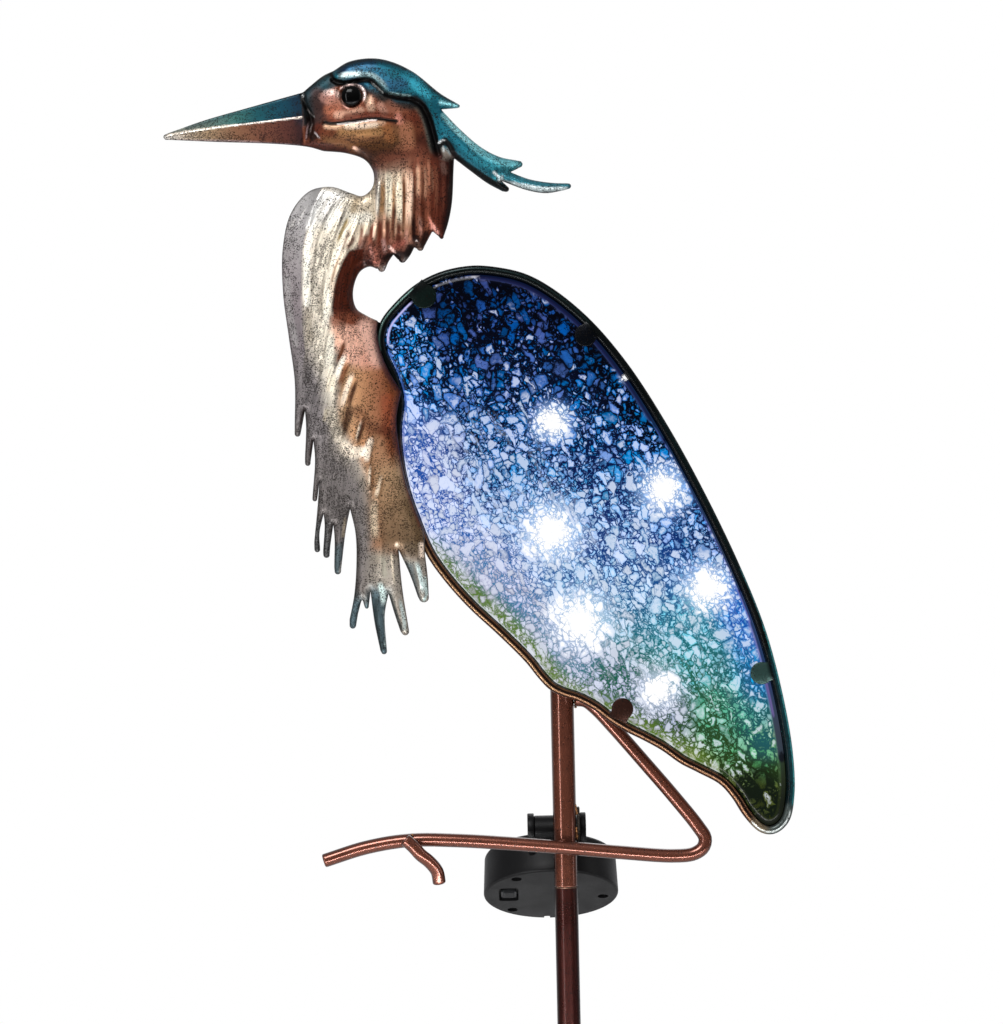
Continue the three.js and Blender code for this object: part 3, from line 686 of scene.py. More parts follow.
class Graph:
    """Adds and links nodes in one node tree."""

    def __init__(self, tree: bpy.types.NodeTree) -> None:
        """Start on a tree."""
        self.tree = tree

    def add(self, kind: str, settings: dict | None = None, values: dict | None = None) -> bpy.types.Node:
        """Add a node.

        Args:
            kind: The node's type.
            settings: Its own properties.
            values: Values or links for its inputs, by name or number.

        Returns:
            The node.
        """
        node = self.tree.nodes.new(kind)
        for name, value in (settings or {}).items():
            setattr(node, name, value)
        self.feed(node, values or {})
        return node

    def put(self, socket: bpy.types.NodeSocket, value: object) -> None:
        """Set a socket to a value, or link it to another node's output."""
        if isinstance(value, bpy.types.NodeSocket):
            self.tree.links.new(value, socket)
        else:
            socket.default_value = value

    def math(self, operation: str, a: object, b: object = 0.0, clamp: bool = False) -> bpy.types.NodeSocket:
        """Work out one sum of two numbers or outputs."""
        node = self.add("ShaderNodeMath", {"operation": operation, "use_clamp": clamp}, {0: a, 1: b})
        return node.outputs[0]

    def times(self, a: object, b: object) -> bpy.types.NodeSocket:
        """Multiply two numbers or outputs."""
        return self.math("MULTIPLY", a, b)

    def plus(self, a: object, b: object, clamp: bool = False) -> bpy.types.NodeSocket:
        """Add two numbers or outputs."""
        return self.math("ADD", a, b, clamp)

    def minus(self, a: object, b: object) -> bpy.types.NodeSocket:
        """Subtract the second number or output from the first."""
        return self.math("SUBTRACT", a, b)

    def scaled(self, vector: object, factor: object) -> bpy.types.NodeSocket:
        """Scale a vector or a colour."""
        node = self.add("ShaderNodeVectorMath", {"operation": "SCALE"}, {0: vector, "Scale": factor})
        return node.outputs[0]

    def channels(self, colour: object) -> bpy.types.NodeOutputs:
        """Split a colour into Red, Green and Blue."""
        return self.add("ShaderNodeSeparateColor", {}, {"Color": colour}).outputs

    def cells(self, place: object, scale: object, feature: str = "F1") -> bpy.types.NodeOutputs:
        """Sample Voronoi cells at a place."""
        values = {"Vector": place, "Scale": scale}
        return self.add("ShaderNodeTexVoronoi", {"feature": feature}, values).outputs

    def stored(self, name: str) -> bpy.types.NodeOutputs:
        """Read a colour attribute of the mesh."""
        return self.add("ShaderNodeAttribute", {"attribute_name": name}).outputs

    def place(self) -> bpy.types.NodeSocket:
        """Read the object's own coordinates, in metres."""
        return self.add("ShaderNodeTexCoord").outputs["Object"]

    def bump(
        self, height: object, strength: object, distance: float, under: object = None
    ) -> bpy.types.NodeSocket:
        """Turn a height into a normal, on top of another normal if one is given."""
        node = self.add("ShaderNodeBump", {}, {"Height": height, "Strength": strength, "Distance": distance})
        if under is not None:
            self.put(node.inputs["Normal"], under)
        return node.outputs["Normal"]

    def feed(self, node: bpy.types.Node, values: dict) -> None:
        """Set or link several inputs of a node."""
        for name, value in values.items():
            self.put(node.inputs[name], value)

    def rise(self, value: object, low: object, high: object) -> bpy.types.NodeSocket:
        """Map a value smoothly to 0 at low and 1 at high."""
        settings = {"interpolation_type": "SMOOTHSTEP"}
        values = {"Value": value, "From Min": low, "From Max": high}
        return self.add("ShaderNodeMapRange", settings, values).outputs["Result"]

    def between(self, value: object, low: float, high: float) -> bpy.types.NodeSocket:
        """Map 0 to 1 onto a range of numbers."""
        values = {"Value": value, "To Min": low, "To Max": high}
        return self.add("ShaderNodeMapRange", {}, values).outputs["Result"]

    def blend(self, share: object, a: object, b: object, mode: str = "MIX") -> bpy.types.NodeSocket:
        """Blend two colours."""
        node = self.add("ShaderNodeMix", {"data_type": "RGBA", "blend_type": mode})
        self.put(node.inputs["Factor"], share)
        self.put(node.inputs[6], a)
        self.put(node.inputs[7], b)
        return node.outputs[2]

    def noise(
        self, place: object, scale: float, detail: float = 3.0, out: str = "Fac"
    ) -> bpy.types.NodeSocket:
        """Sample noise at a place."""
        values = {"Vector": place, "Scale": scale, "Detail": detail}
        return self.add("ShaderNodeTexNoise", {}, values).outputs[out]

    def group(self, tree: bpy.types.NodeTree, values: dict) -> bpy.types.Node:
        """Place a shared node group.

        Args:
            tree: The group.
            values: Values or links for its inputs.

        Returns:
            The group's node.
        """
        node = self.tree.nodes.new("ShaderNodeGroup")
        node.node_tree = tree
        self.feed(node, values)
        return node


@dataclass(frozen=True)
class Socket:
    """One named socket of a shared group."""

    name: str
    kind: str = "NodeSocketFloat"
    value: object = None


def shared_group(
    name: str, inputs: Sequence[Socket], outputs: Sequence[Socket]
) -> tuple[Graph, bpy.types.Node, bpy.types.Node]:
    """Start a shared node group.

    Args:
        name: The group's name.
        inputs: Its inputs.
        outputs: Its outputs.

    Returns:
        The group's graph, its input node and its output node.
    """
    tree = bpy.data.node_groups.new(name, "ShaderNodeTree")
    for sockets, side in ((inputs, "INPUT"), (outputs, "OUTPUT")):
        for socket in sockets:
            made = tree.interface.new_socket(socket.name, in_out=side, socket_type=socket.kind)
            if socket.value is not None:
                made.default_value = socket.value
    graph = Graph(tree)
    return graph, graph.add("NodeGroupInput"), graph.add("NodeGroupOutput")


class Effects:
    """The effects that several finishes share, each built once as a node group."""

    def __init__(self) -> None:
        """Build the groups."""
        self.speckle = self.build_speckle()
        self.flake = self.build_flake()
        self.crackle = self.build_crackle()
        self.hairs = self.build_hairs()

    @staticmethod
    def build_speckle() -> bpy.types.NodeTree:
        """Build the fine dark spatter: a mask of small uneven dots.

        Returns:
            The group, with Size in millimetres and Density as inputs, and Mask as output.
        """
        inputs = [Socket("Size", value=0.9), Socket("Density", value=0.5)]
        graph, given, result = shared_group("spatter", inputs, [Socket("Mask")])
        place = graph.place()
        scale = graph.math("DIVIDE", 1.0 / MM, given.outputs["Size"])
        clump = graph.rise(graph.noise(place, 130.0, 5.0), 0.36, 0.6)
        chance = graph.times(given.outputs["Density"], graph.between(clump, 0.12, 0.85))
        dots: object = 0.0
        for finer in (1.0, 1.22, 1.5):
            cells = graph.cells(place, graph.times(scale, finer))
            parts = graph.channels(cells["Color"])
            reach = graph.between(parts["Green"], 0.3, 0.66)
            dot = graph.rise(cells["Distance"], reach, graph.times(reach, 0.62))
            chosen = graph.math("LESS_THAN", parts["Red"], chance)
            weight = graph.times(chosen, graph.between(parts["Blue"], 0.55, 1.0))
            dots = graph.math("MAXIMUM", dots, graph.times(dot, weight))
        graph.put(result.inputs["Mask"], dots)
        return graph.tree

    @staticmethod
    def build_flake() -> bpy.types.NodeTree:
        """Build metallic flake: tiny facets that change a paint's tone, roughness and normal.

        Returns:
            The group, with Color, Contrast, Roughness, Relief and Under (a normal below the flake's own)
            as inputs, and Color, Roughness and Normal as outputs.
        """
        inputs = [
            Socket("Color", COLOUR, (0.5, 0.5, 0.5, 1.0)),
            Socket("Contrast", value=0.3),
            Socket("Roughness", value=0.4),
            Socket("Relief", value=0.1),
            Socket("Under", VECTOR),
        ]
        outputs = [Socket("Color", COLOUR), Socket("Roughness"), Socket("Normal", VECTOR)]
        graph, given, result = shared_group("metallic_flake", inputs, outputs)
        place = graph.place()
        grain = graph.channels(graph.cells(place, 2600.0)["Color"])["Green"]
        cloud = graph.noise(place, 60.0, 4.0)
        tone = graph.plus(graph.times(grain, 0.6), graph.times(cloud, 0.8))
        lift = graph.plus(1.0, graph.times(graph.minus(tone, 0.7), given.outputs["Contrast"]))
        rough = graph.plus(given.outputs["Roughness"], graph.times(graph.minus(cloud, 0.5), 0.3), True)
        height = graph.plus(grain, graph.times(graph.noise(place, 420.0, 3.0), 1.6))
        normal = graph.bump(height, given.outputs["Relief"], 0.0003, given.outputs["Under"])
        colour = graph.scaled(given.outputs["Color"], lift)
        graph.feed(result, {"Color": colour, "Roughness": rough, "Normal": normal})
        return graph.tree

    @staticmethod
    def build_hairs() -> bpy.types.NodeTree:
        """Build feather hairs: fine lines that run along a flow.

        Returns:
            The group, with Flow (millimetres across and along, and a strength) as input, and Tone (a
            factor for the colour) and Height as outputs.
        """
        inputs = [Socket("Flow", VECTOR)]
        graph, given, result = shared_group("feather_hairs", inputs, [Socket("Tone"), Socket("Height")])
        parts = graph.add("ShaderNodeSeparateXYZ", {}, {"Vector": given.outputs["Flow"]})
        total: object = 0.0
        for across, along, weight in ((0.5, 0.045, 0.55), (1.15, 0.09, 0.45)):
            spot = {"X": graph.times(parts.outputs["X"], across)}
            spot["Y"] = graph.times(parts.outputs["Y"], along)
            place = graph.add("ShaderNodeCombineXYZ", {}, spot).outputs[0]
            total = graph.plus(total, graph.times(graph.noise(place, 1.0, 2.0), weight))
        level = graph.rise(total, 0.34, 0.64)
        change = graph.minus(graph.between(level, 0.64, 1.13), 1.0)
        tone = graph.plus(1.0, graph.times(change, parts.outputs["Z"]))
        graph.feed(result, {"Tone": tone, "Height": graph.times(level, parts.outputs["Z"])})
        return graph.tree

    @staticmethod
    def build_crackle() -> bpy.types.NodeTree:
        """Build the crackle of the glass: pale flakes of five sizes in a dark network.

        Returns:
            The group, with Share as input, and Value (0 in the network, 1 in the palest flakes), Hue (a
            number of each flake's own), Haze (where soft pale streaks lie) and Height as outputs.
        """
        outputs = [Socket("Value"), Socket("Hue"), Socket("Haze"), Socket("Height")]
        graph, given, result = shared_group("crackle", [Socket("Share", value=0.5)], outputs)
        place = graph.place()
        moved = place
        for scale, reach in ((120.0, 0.006), (420.0, 0.0018), (1100.0, 0.0006)):
            shift = graph.scaled(graph.noise(place, scale, 3.0, "Color"), reach)
            moved = graph.add("ShaderNodeVectorMath", {"operation": "ADD"}, {0: moved, 1: shift}).outputs[0]
        turn = {"Vector": moved, "Rotation": (0.0, math.radians(-26), 0.0)}
        stretched = (
            graph.add("ShaderNodeMapping", {"vector_type": "TEXTURE"}, {**turn, "Scale": scale})
            for scale in ((0.9, 1.0, 1.15), (0.5, 1.0, 1.5), (0.34, 1.0, 4.0))
        )
        leaned, shards, streaks = (node.outputs[0] for node in stretched)
        drift = graph.times(graph.minus(graph.noise(place, 62.0, 2.0), 0.5), 0.9)
        share = graph.plus(given.outputs["Share"], drift)
        rest = graph.minus(1.0, share)
        wide = graph.between(share, 1.5, 0.42)
        floor = graph.between(share, 0.14, 0.66)
        value: object = 0.0
        hue: object = 0.5
        height: object = 0.0
        sizes = (
            # Cells in a metre, how common they are, how soft their tones are, and where they lie
            (640.0, 1.0, 0.34, leaned),
            (380.0, 0.72, 0.36, leaned),
            (230.0, 0.4, 0.4, leaned),
            (150.0, 0.16, 0.45, leaned),
            (150.0, 0.08, 0.4, shards),
        )
        for scale, common, soft, where in sizes:
            odds = common if scale > 300 else graph.times(common, graph.between(share, 1.3, 0.85))
            edge = graph.cells(where, scale, "DISTANCE_TO_EDGE")["Distance"]
            parts = graph.channels(graph.cells(where, scale)["Color"])
            crisp = graph.rise(edge, 0.00005 * scale, graph.times(wide, 0.0006 * scale))
            dome = graph.rise(edge, 0.0, 0.0017 * scale)
            body = graph.times(crisp, graph.between(dome, 0.28, 1.05))
            low, high = graph.minus(rest, soft), graph.plus(rest, soft)
            tone = graph.math("MAXIMUM", floor, graph.rise(parts["Green"], low, high))
            bright = graph.times(body, tone)
            chosen = graph.math("LESS_THAN", parts["Red"], odds)
            value = graph.plus(value, graph.times(chosen, graph.minus(bright, value)))
            hue = graph.plus(hue, graph.times(chosen, graph.minus(parts["Blue"], hue)))
            height = graph.plus(height, graph.times(edge, 150.0 / scale))
        vein = graph.math("ABSOLUTE", graph.minus(graph.noise(moved, 170.0, 3.0), 0.5))
        value = graph.times(value, graph.between(graph.rise(vein, 0.0, 0.022), 0.3, 1.0))
        value = graph.times(value, graph.between(graph.noise(moved, 520.0, 4.0), 0.35, 1.65))
        value = graph.times(value, graph.between(share, 1.05, 1.75))
        haze = graph.rise(graph.noise(streaks, 190.0, 3.0), 0.52, 0.72)
        graph.feed(result, {"Value": value, "Hue": hue, "Haze": haze, "Height": height})
        return graph.tree


@dataclass(frozen=True)
class MetalPaint:
    """Metallic paint over steel.

    Attributes:
        name: The material's name.
        colour: Its colour where no laid paint is read.
        painted: Name of the colour attribute with laid paint and its painted highlights and shade, or an
            empty name.
        metallic: How metallic it looks.
        roughness: Its mean roughness.
        coat: Weight of its clear coat.
        spatter: Density of its dark spatter, times the paint's own alpha.
        spatter_size: Size of the spatter in millimetres.
        contrast: Contrast of its flake.
        relief: Strength of its flake's relief.
        shine: Level of its colourless reflection.
        painted_edge_shade: A painted shade colour that it darkens to where it is seen at a slant, or an empty
            name.
        feathered: Whether it reads the flow of the feathers.
    """

    name: str
    colour: str = "#808080"
    painted: str = ""
    metallic: float = 0.6
    roughness: float = 0.38
    coat: float = 0.03
    spatter: float = 0.4
    spatter_size: float = 1.0
    contrast: float = 0.45
    relief: float = 0.12
    shine: float = 0.12
    painted_edge_shade: str = ""
    feathered: bool = False

    def material(self, effects: Effects) -> bpy.types.Material:
        """Make the material.

        Args:
            effects: The shared groups.

        Returns:
            The material.
        """
        made, graph, shader = principled(self.name)
        density: object = self.spatter
        colour: object = rgba(self.colour)
        if self.painted:
            paint = graph.stored(self.painted)
            colour = paint["Color"]
            density = graph.times(paint["Alpha"], self.spatter)
        # Painted shade: the colour darkens towards the edges that are seen at a slant.
        if self.painted_edge_shade:
            slant = graph.add("ShaderNodeLayerWeight", {}, {"Blend": 0.42}).outputs["Facing"]
            colour = graph.blend(graph.rise(slant, 0.15, 0.85), colour, rgba(self.painted_edge_shade))
        normal: object = None
        if self.feathered:
            hairs = graph.group(effects.hairs, {"Flow": graph.stored("flow")["Color"]})
            colour = graph.scaled(colour, hairs.outputs["Tone"])
            normal = graph.bump(hairs.outputs["Height"], 0.3, 0.0005)
        values = {
            "Color": colour, "Contrast": self.contrast, "Roughness": self.roughness, "Relief": self.relief,
        }
        flake = graph.group(effects.flake, values)
        if normal is not None:
            graph.put(flake.inputs["Under"], normal)
        mask = graph.group(effects.speckle, {"Size": self.spatter_size, "Density": density}).outputs["Mask"]
        graph.feed(shader, {
            "Base Color": graph.blend(graph.times(mask, 0.95), flake.outputs["Color"], rgba("#120d0a")),
            "Roughness": graph.plus(flake.outputs["Roughness"], graph.times(mask, 0.15), True),
            "Normal": flake.outputs["Normal"],
            "Metallic": self.metallic,
            "Coat Weight": self.coat,
            "Coat Roughness": 0.12,
            "Specular IOR Level": self.shine,
        })
        return made


@dataclass(frozen=True)
class CrackleGlass:
    """Crackle glass lit from behind.

    Attributes:
        name: The material's name.
        strength: Strength of the light that comes through.
    """

    name: str = "crackle_glass"
    strength: float = 1.0

    def material(self, effects: Effects) -> bpy.types.Material:
        """Make the material, which reads the pane's flake, network and glow colours.

        Args:
            effects: The shared groups.

        Returns:
            The material.
        """
        made, graph, shader = principled(self.name)
        fill, net, glow = graph.stored("flakes"), graph.stored("network"), graph.stored("glow")["Fac"]
        share = graph.plus(fill["Alpha"], graph.times(glow, 0.7))
        crackle = graph.group(effects.crackle, {"Share": share})
        hue = crackle.outputs["Hue"]
        value = graph.times(crackle.outputs["Value"], graph.between(glow, 1.0, 1.5))
        turn = {"Hue": graph.between(hue, 0.484, 0.504), "Saturation": graph.between(hue, 1.2, 0.9)}
        turn["Value"] = graph.between(graph.math("FRACT", graph.times(hue, 7.0)), 0.62, 1.2)
        turn["Color"] = fill["Color"]
        flake = graph.add("ShaderNodeHueSaturation", {}, turn).outputs["Color"]
        near = graph.rise(glow, 0.1, 0.8)
        lines = graph.blend(graph.times(near, 0.7), net["Color"], fill["Color"])
        pale = graph.blend(graph.between(near, 0.55, 0.95), flake, rgba("#e9effd"))
        pattern = graph.blend(graph.rise(value, 0.03, 0.44), lines, flake)
        pattern = graph.blend(graph.rise(value, 0.44, 1.05), pattern, pale)
        pattern = graph.blend(graph.times(graph.rise(glow, 0.2, 1.0), 0.34), pattern, rgba("#d4e8fc"))
        strong = graph.rise(graph.plus(fill["Alpha"], graph.times(glow, 0.3)), 0.6, 1.0)
        haze = graph.times(crackle.outputs["Haze"], graph.times(strong, 0.8))
        pattern = graph.blend(haze, pattern, pale)
        pattern = graph.blend(net["Alpha"], fill["Color"], pattern)
        core = graph.plus(graph.times(glow, value), graph.rise(glow, 0.7, 1.25))
        lit = graph.blend(graph.rise(core, 0.5, 1.15), pattern, rgba("#ffffff"))
        graph.feed(shader, {
            "Base Color": graph.blend(0.97, lit, rgba("#020206")),
            "Emission Color": lit,
            "Emission Strength": self.strength,
            "Normal": graph.bump(crackle.outputs["Height"], 0.12, 0.0004),
            "Roughness": 0.12,
            "Specular IOR Level": 0.08,
        })
        return made


@dataclass(frozen=True)
class Moulded:
    """Moulded plastic or resin.

    Attributes:
        name: The material's name.
        colour: Its colour.
        roughness: Its mean roughness.
        grain: Strength of the mould's fine grain.
        glow: Strength of its own light.
        shine: Level of its mirror reflection.
    """

    name: str
    colour: str
    roughness: float = 0.5
    grain: float = 0.15
    glow: float = 0.0
    shine: float = 0.5

    def material(self, effects: Effects) -> bpy.types.Material:
        """Make the material.

        Args:
            effects: The shared groups.

        Returns:
            The material.
        """
        made, graph, shader = principled(self.name)
        values = {
            "Color": rgba(self.colour), "Contrast": 0.25, "Roughness": self.roughness, "Relief": self.grain,
        }
        flake = graph.group(effects.flake, values)
        colour, rough, normal = (flake.outputs[name] for name in ("Color", "Roughness", "Normal"))
        graph.feed(shader, {"Base Color": colour, "Roughness": rough, "Normal": normal})
        graph.feed(shader, {"Specular IOR Level": self.shine})
        if self.glow:
            graph.feed(shader, {"Emission Color": colour, "Emission Strength": self.glow})
        return made


@dataclass(frozen=True)
class SolarCell:
    """Dark blue cells with silver lines under clear resin."""

    name: str = "solar_cell"

    def material(self, effects: Effects) -> bpy.types.Material:
        """Make the material, which reads the panel's own flat coordinates.

        Args:
            effects: The shared groups.

        Returns:
            The material.
        """
        made, graph, shader = principled(self.name)
        parts = graph.channels(graph.stored("flat")["Color"])
        wide = graph.math("PINGPONG", parts["Red"], 0.5)
        fine = graph.math("PINGPONG", graph.times(parts["Green"], 7.0), 0.5)
        rails = graph.minus(1.0, graph.rise(wide, 0.02, 0.045))
        hairs = graph.times(graph.minus(1.0, graph.rise(fine, 0.03, 0.09)), 0.35)
        values = {"Color": rgba("#101a3c"), "Contrast": 0.8, "Roughness": 0.22, "Relief": 0.02}
        flake = graph.group(effects.flake, values)
        lines = graph.math("MAXIMUM", rails, hairs)
        colour = graph.blend(lines, flake.outputs["Color"], rgba("#9aa0a8"))
        graph.feed(shader, {"Base Color": colour, "Roughness": flake.outputs["Roughness"]})
        graph.feed(shader, {"Coat Weight": 1.0, "Coat Roughness": 0.05})
        return made


def principled(name: str) -> tuple[bpy.types.Material, Graph, bpy.types.Node]:
    """Start a material.

    Args:
        name: Its name.

    Returns:
        The material, its graph and its shader node.
    """
    made = bpy.data.materials.new(name)
    made.use_nodes = True
    made.node_tree.nodes.clear()
    graph = Graph(made.node_tree)
    shader = graph.add("ShaderNodeBsdfPrincipled")
    graph.add("ShaderNodeOutputMaterial", {}, {"Surface": shader.outputs["BSDF"]})
    return made, graph, shader


# Outlines, read from the photograph


@dataclass(frozen=True)
class Run:
    """A smooth stretch of an outline through hand-set points."""

    through: Path

    def points(self) -> np.ndarray:
        """Give the stretch's points."""
        return spline(self.through, 10)


@dataclass(frozen=True)
class Tip:
    """The round end of a feather tip, which opens towards its root."""

    end: tuple[float, float]
    radius: float
    root: tuple[float, float]

    def points(self) -> np.ndarray:
        """Give the half circle's points, clockwise."""
        back = math.atan2(self.root[1] - self.end[1], self.root[0] - self.end[0])
        turns = back - math.pi / 2 - math.pi * np.arange(11) / 10
        return np.array(self.end) + self.radius * np.column_stack([np.cos(turns), np.sin(turns)])


def stretches(table: str) -> tuple[Run | Tip, ...]:
    """Read an outline from a table.

    Args:
        table: Stretches that end with a semicolon each. A run gives its points, and a tip its end, its
            radius and its root.

    Returns:
        The stretches, in order.
    """
    made: list[Run | Tip] = []
    for entry in table.split(";")[:-1]:
        kind, *words = entry.split()
        if kind == "run":
            made.append(Run(spots(words)))
        else:
            end, root = spots([words[0], words[2]])
            made.append(Tip(end, float(words[1]), root))
    return tuple(made)


HERON_OUTLINE = stretches("""
    tip -211.2,719.3 1.5 -200,721; run -209.5,721.6 -190,728 -165,734.6 -135.5,742.2;
    run -135.5,742.2 -130,746.8 -124,751.2 -118.6,753.6;
    run -118.6,753.6 -110,758.5 -98,760.2 -88,758.6 -75,752.4 -60,740 -52,735; tip -50.4,732.9 1 -59,735.5;
    run -51.5,731.8 -59.8,731.3; run -59.8,731.3 -50,720.5 -38,709.8 -28,704.4 -18.5,702.2;
    tip -17.4,700.2 1.8 -26,700; run -19,697.5 -22.5,696; run -22.5,696 -12,691.8 0,689.6 8.8,689.1;
    tip 9.3,687.6 1.5 0,687; run 6,685.2 -3,684 -13,685.7 -27.4,691.2; tip -24.9,686.7 1.6 -32,691;
    run -27,685.5 -35,690 -45,697.6 -53.2,704.2; run -53.2,704.2 -53.7,697 -54.9,680 -57.2,669 -60,661;
    tip -61,661.2 1.2 -61.5,668; run -62.5,661.4 -66,664.4; run -66,664.4 -68.5,660 -71,655.4;
    tip -72.9,655.7 2 -72,665; run -74.6,654.8 -76.2,655.7; run -76.2,655.7 -78.4,651.6 -81,648.3;
    tip -82.8,649.6 2.2 -82,658; run -85,648.9 -87.8,652; run -87.8,652 -90.6,648 -92.4,643.9;
    tip -94.4,644.7 2.1 -93,654;
    run -96.6,644.2 -101,645.7 -106.5,642.8 -110.4,632 -108.8,623 -103,618.7 -97,615.7;
    run -97,615.7 -97.6,609 -95.2,597 -91,587 -85,576.6;
    run -85,576.6 -87.9,562 -87,547 -83.8,528 -79,512.5 -74.3,498.5 -74,487;
    run -74,487 -72.7,474 -72.4,464; tip -75.1,463.2 2.8 -78.5,480; run -78.3,463.4 -82.5,476 -88.4,489.6;
    run -88.4,489.6 -86.8,468 -83.9,447; tip -85.7,444.6 2.1 -90,470;
    run -88.3,444.6 -91.4,454.5 -94.5,465.8; run -94.5,465.8 -96.8,454 -96.1,435;
    tip -97.6,433.9 1.6 -99.5,450; run -99.6,434.3 -102.5,450 -104.4,467.2; tip -106.6,458.7 1.1 -107,466;
    run -108,459.5 -109,462.6 -111.5,455; tip -114.5,448.6 1.8 -111.5,465;
    run -116.2,452 -113.4,465 -111.8,482 -111.9,499 -114.6,512.8; run -114.6,512.8 -117.2,501 -120.2,480;
    tip -122.1,478.6 1.8 -119,505; run -124,481 -123.5,497 -124,504.3; run -124,504.3 -126,492 -126.4,488;
    tip -128.1,487.8 1.8 -126.5,505; run -129.9,490 -128.8,504 -129.2,510.4;
    run -129.2,510.4 -131.7,500 -131.6,491; tip -133.1,490.8 1.6 -132,505;
    run -134.7,495 -132.7,512 -131.1,528.4; tip -133.9,518.5 1.3 -132.8,527;
    run -135,521 -133.3,540 -133.9,550.6; run -133.9,550.6 -135.8,539; tip -137.3,538.3 1.5 -136.2,552;
    run -138.8,541 -137.8,558 -138.2,567.3; run -138.2,567.3 -140.3,557.5; tip -142.6,554.6 1.6 -141,570;
    run -144.1,558 -143.5,583 -146.2,608 -148.8,632 -148.4,657 -143.5,676 -133,687.8 -121,690 -110.5,686.4
        -104,684.6 -98.6,689 -97.7,697 -102,704.2 -112,708.2 -125,709.8;
    run -125,709.8 -133,712.2 -150,714.2 -185,716.2 -209.5,717.8;
""")

TRAY_OUTLINE = (
    (-45, 645.3), (-30, 644), (-15, 640), (0, 631.4), (20, 614), (40, 589.3), (60, 557), (80, 519),
    (100, 475),
    (113, 440), (122, 402), (126.3, 372), (126.6, 350), (123.6, 336), (118, 330), (112.5, 328.4),
    (106.5, 330.2),
    (99, 338), (92.5, 348.5), (85.5, 356.6), (74, 363.2), (64, 368.6), (54, 376), (44, 381.8), (34, 387),
    (25, 392.8), (17, 399.2), (8, 404.2), (0, 407), (-7, 410.8), (-13, 417.2), (-20, 426.3), (-35, 441.8),
    (-50, 456.2), (-63, 471.2), (-73, 486), (-80, 503), (-86, 521), (-89.6, 541), (-90.2, 557), (-88.6, 572),
    (-91.8, 585), (-97, 597.5), (-98.2, 606), (-95.8, 615.5), (-88, 625.3), (-76, 635.6), (-62, 642.3),
)


# The view that colours and carving were read in: its centre, its distance and its plane
VIEW_CENTRE = (-31.4, 509.2)
VIEW_REACH = 2000.0
READ_PLANE = 23.0

# Depths along Y that several classes share

TUBE_R = 6.5
GAP = 0.3
TRAY_BACK = -(TUBE_R + GAP)
TRAY_FRONT = TRAY_BACK - 16
PLATE_BASE = TRAY_FRONT - GAP - 1.4

# The hinge's axis, by its y and z
HINGE = (15.2, 331.2)


def facing(x: float, y: float, z: float) -> Callable[[np.ndarray], np.ndarray]:
    """Make a move that turns a form's Z axis towards the viewer and sets it at a spot."""
    return lambda p: np.column_stack([x + p[:, 0], y - p[:, 2], z + p[:, 1]])


def disc(radius: float, low: float, high: float, edges: tuple[float, float] = (0.0, 0.0)) -> Path:
    """Give the profile of a turned disc.

    Args:
        radius: Its radius.
        low: Where it starts along its axis.
        high: Where it ends.
        edges: Sizes of the chamfers at its start and its end.

    Returns:
        Radii and places along the axis.
    """
    first, last = edges
    start = [(0, low), (radius - first, low), (radius, low + first)]
    end = [(radius, high - last), (radius - last, high), (0, high)]
    return list(dict.fromkeys(start + end))


def about_hinge(start: float, profile: Path, sides: int = 48) -> Draft:
    """Turn a profile about the hinge's axis.

    Args:
        start: Where the profile starts along X.
        profile: Radii and places along the axis, from the start.
        sides: Sides of the turned form.

    Returns:
        The turned form.
    """
    draft = Draft().lathe(profile, sides)
    return draft.moved(lambda p: np.column_stack([start + p[:, 2], HINGE[0] + p[:, 0], HINGE[1] + p[:, 1]]))


@dataclass(frozen=True)
class Lap:
    """A feather strand's edge: the sheet climbs to a line and drops behind it.

    Attributes:
        path: The line, from its root to its tip. The climb is on the right of its run.
        height: How far it stands proud at its middle.
        width: Width of the climb.
        drop: Width of the drop.
    """

    path: Path
    height: float = 1.2
    width: float = 6.0
    drop: float = 1.1

    def rise(self, x: np.ndarray, z: np.ndarray) -> np.ndarray:
        """Measure how far the strand lifts each point.

        Args:
            x: The points' x.
            z: The points' z.

        Returns:
            The lifts.
        """
        line = curve_through(self.path)
        near = close_to(line, x, z, self.width)
        lift = np.zeros(len(x))
        if near.any():
            distance, side, along = nearest(line, x[near], z[near])
            climb = np.clip(1 - distance / self.width, 0, 1) ** 2
            fall = 1 - smooth(distance, 0, self.drop)
            fade = smooth(along, 0.0, 0.4) * (1 - smooth(along, 0.9, 1.0))
            lift[near] = self.height * fade * np.where(side < 0, climb, fall)
        return lift


def laps(table: str) -> list[Lap]:
    """Read strands from a table: height, width and, where it isn't the usual one, drop, then points."""
    rows = [entry.split() for entry in table.split(";")[:-1]]
    return [
        Lap(spots(word for word in row if "," in word), *(float(word) for word in row if "," not in word))
        for row in rows
    ]


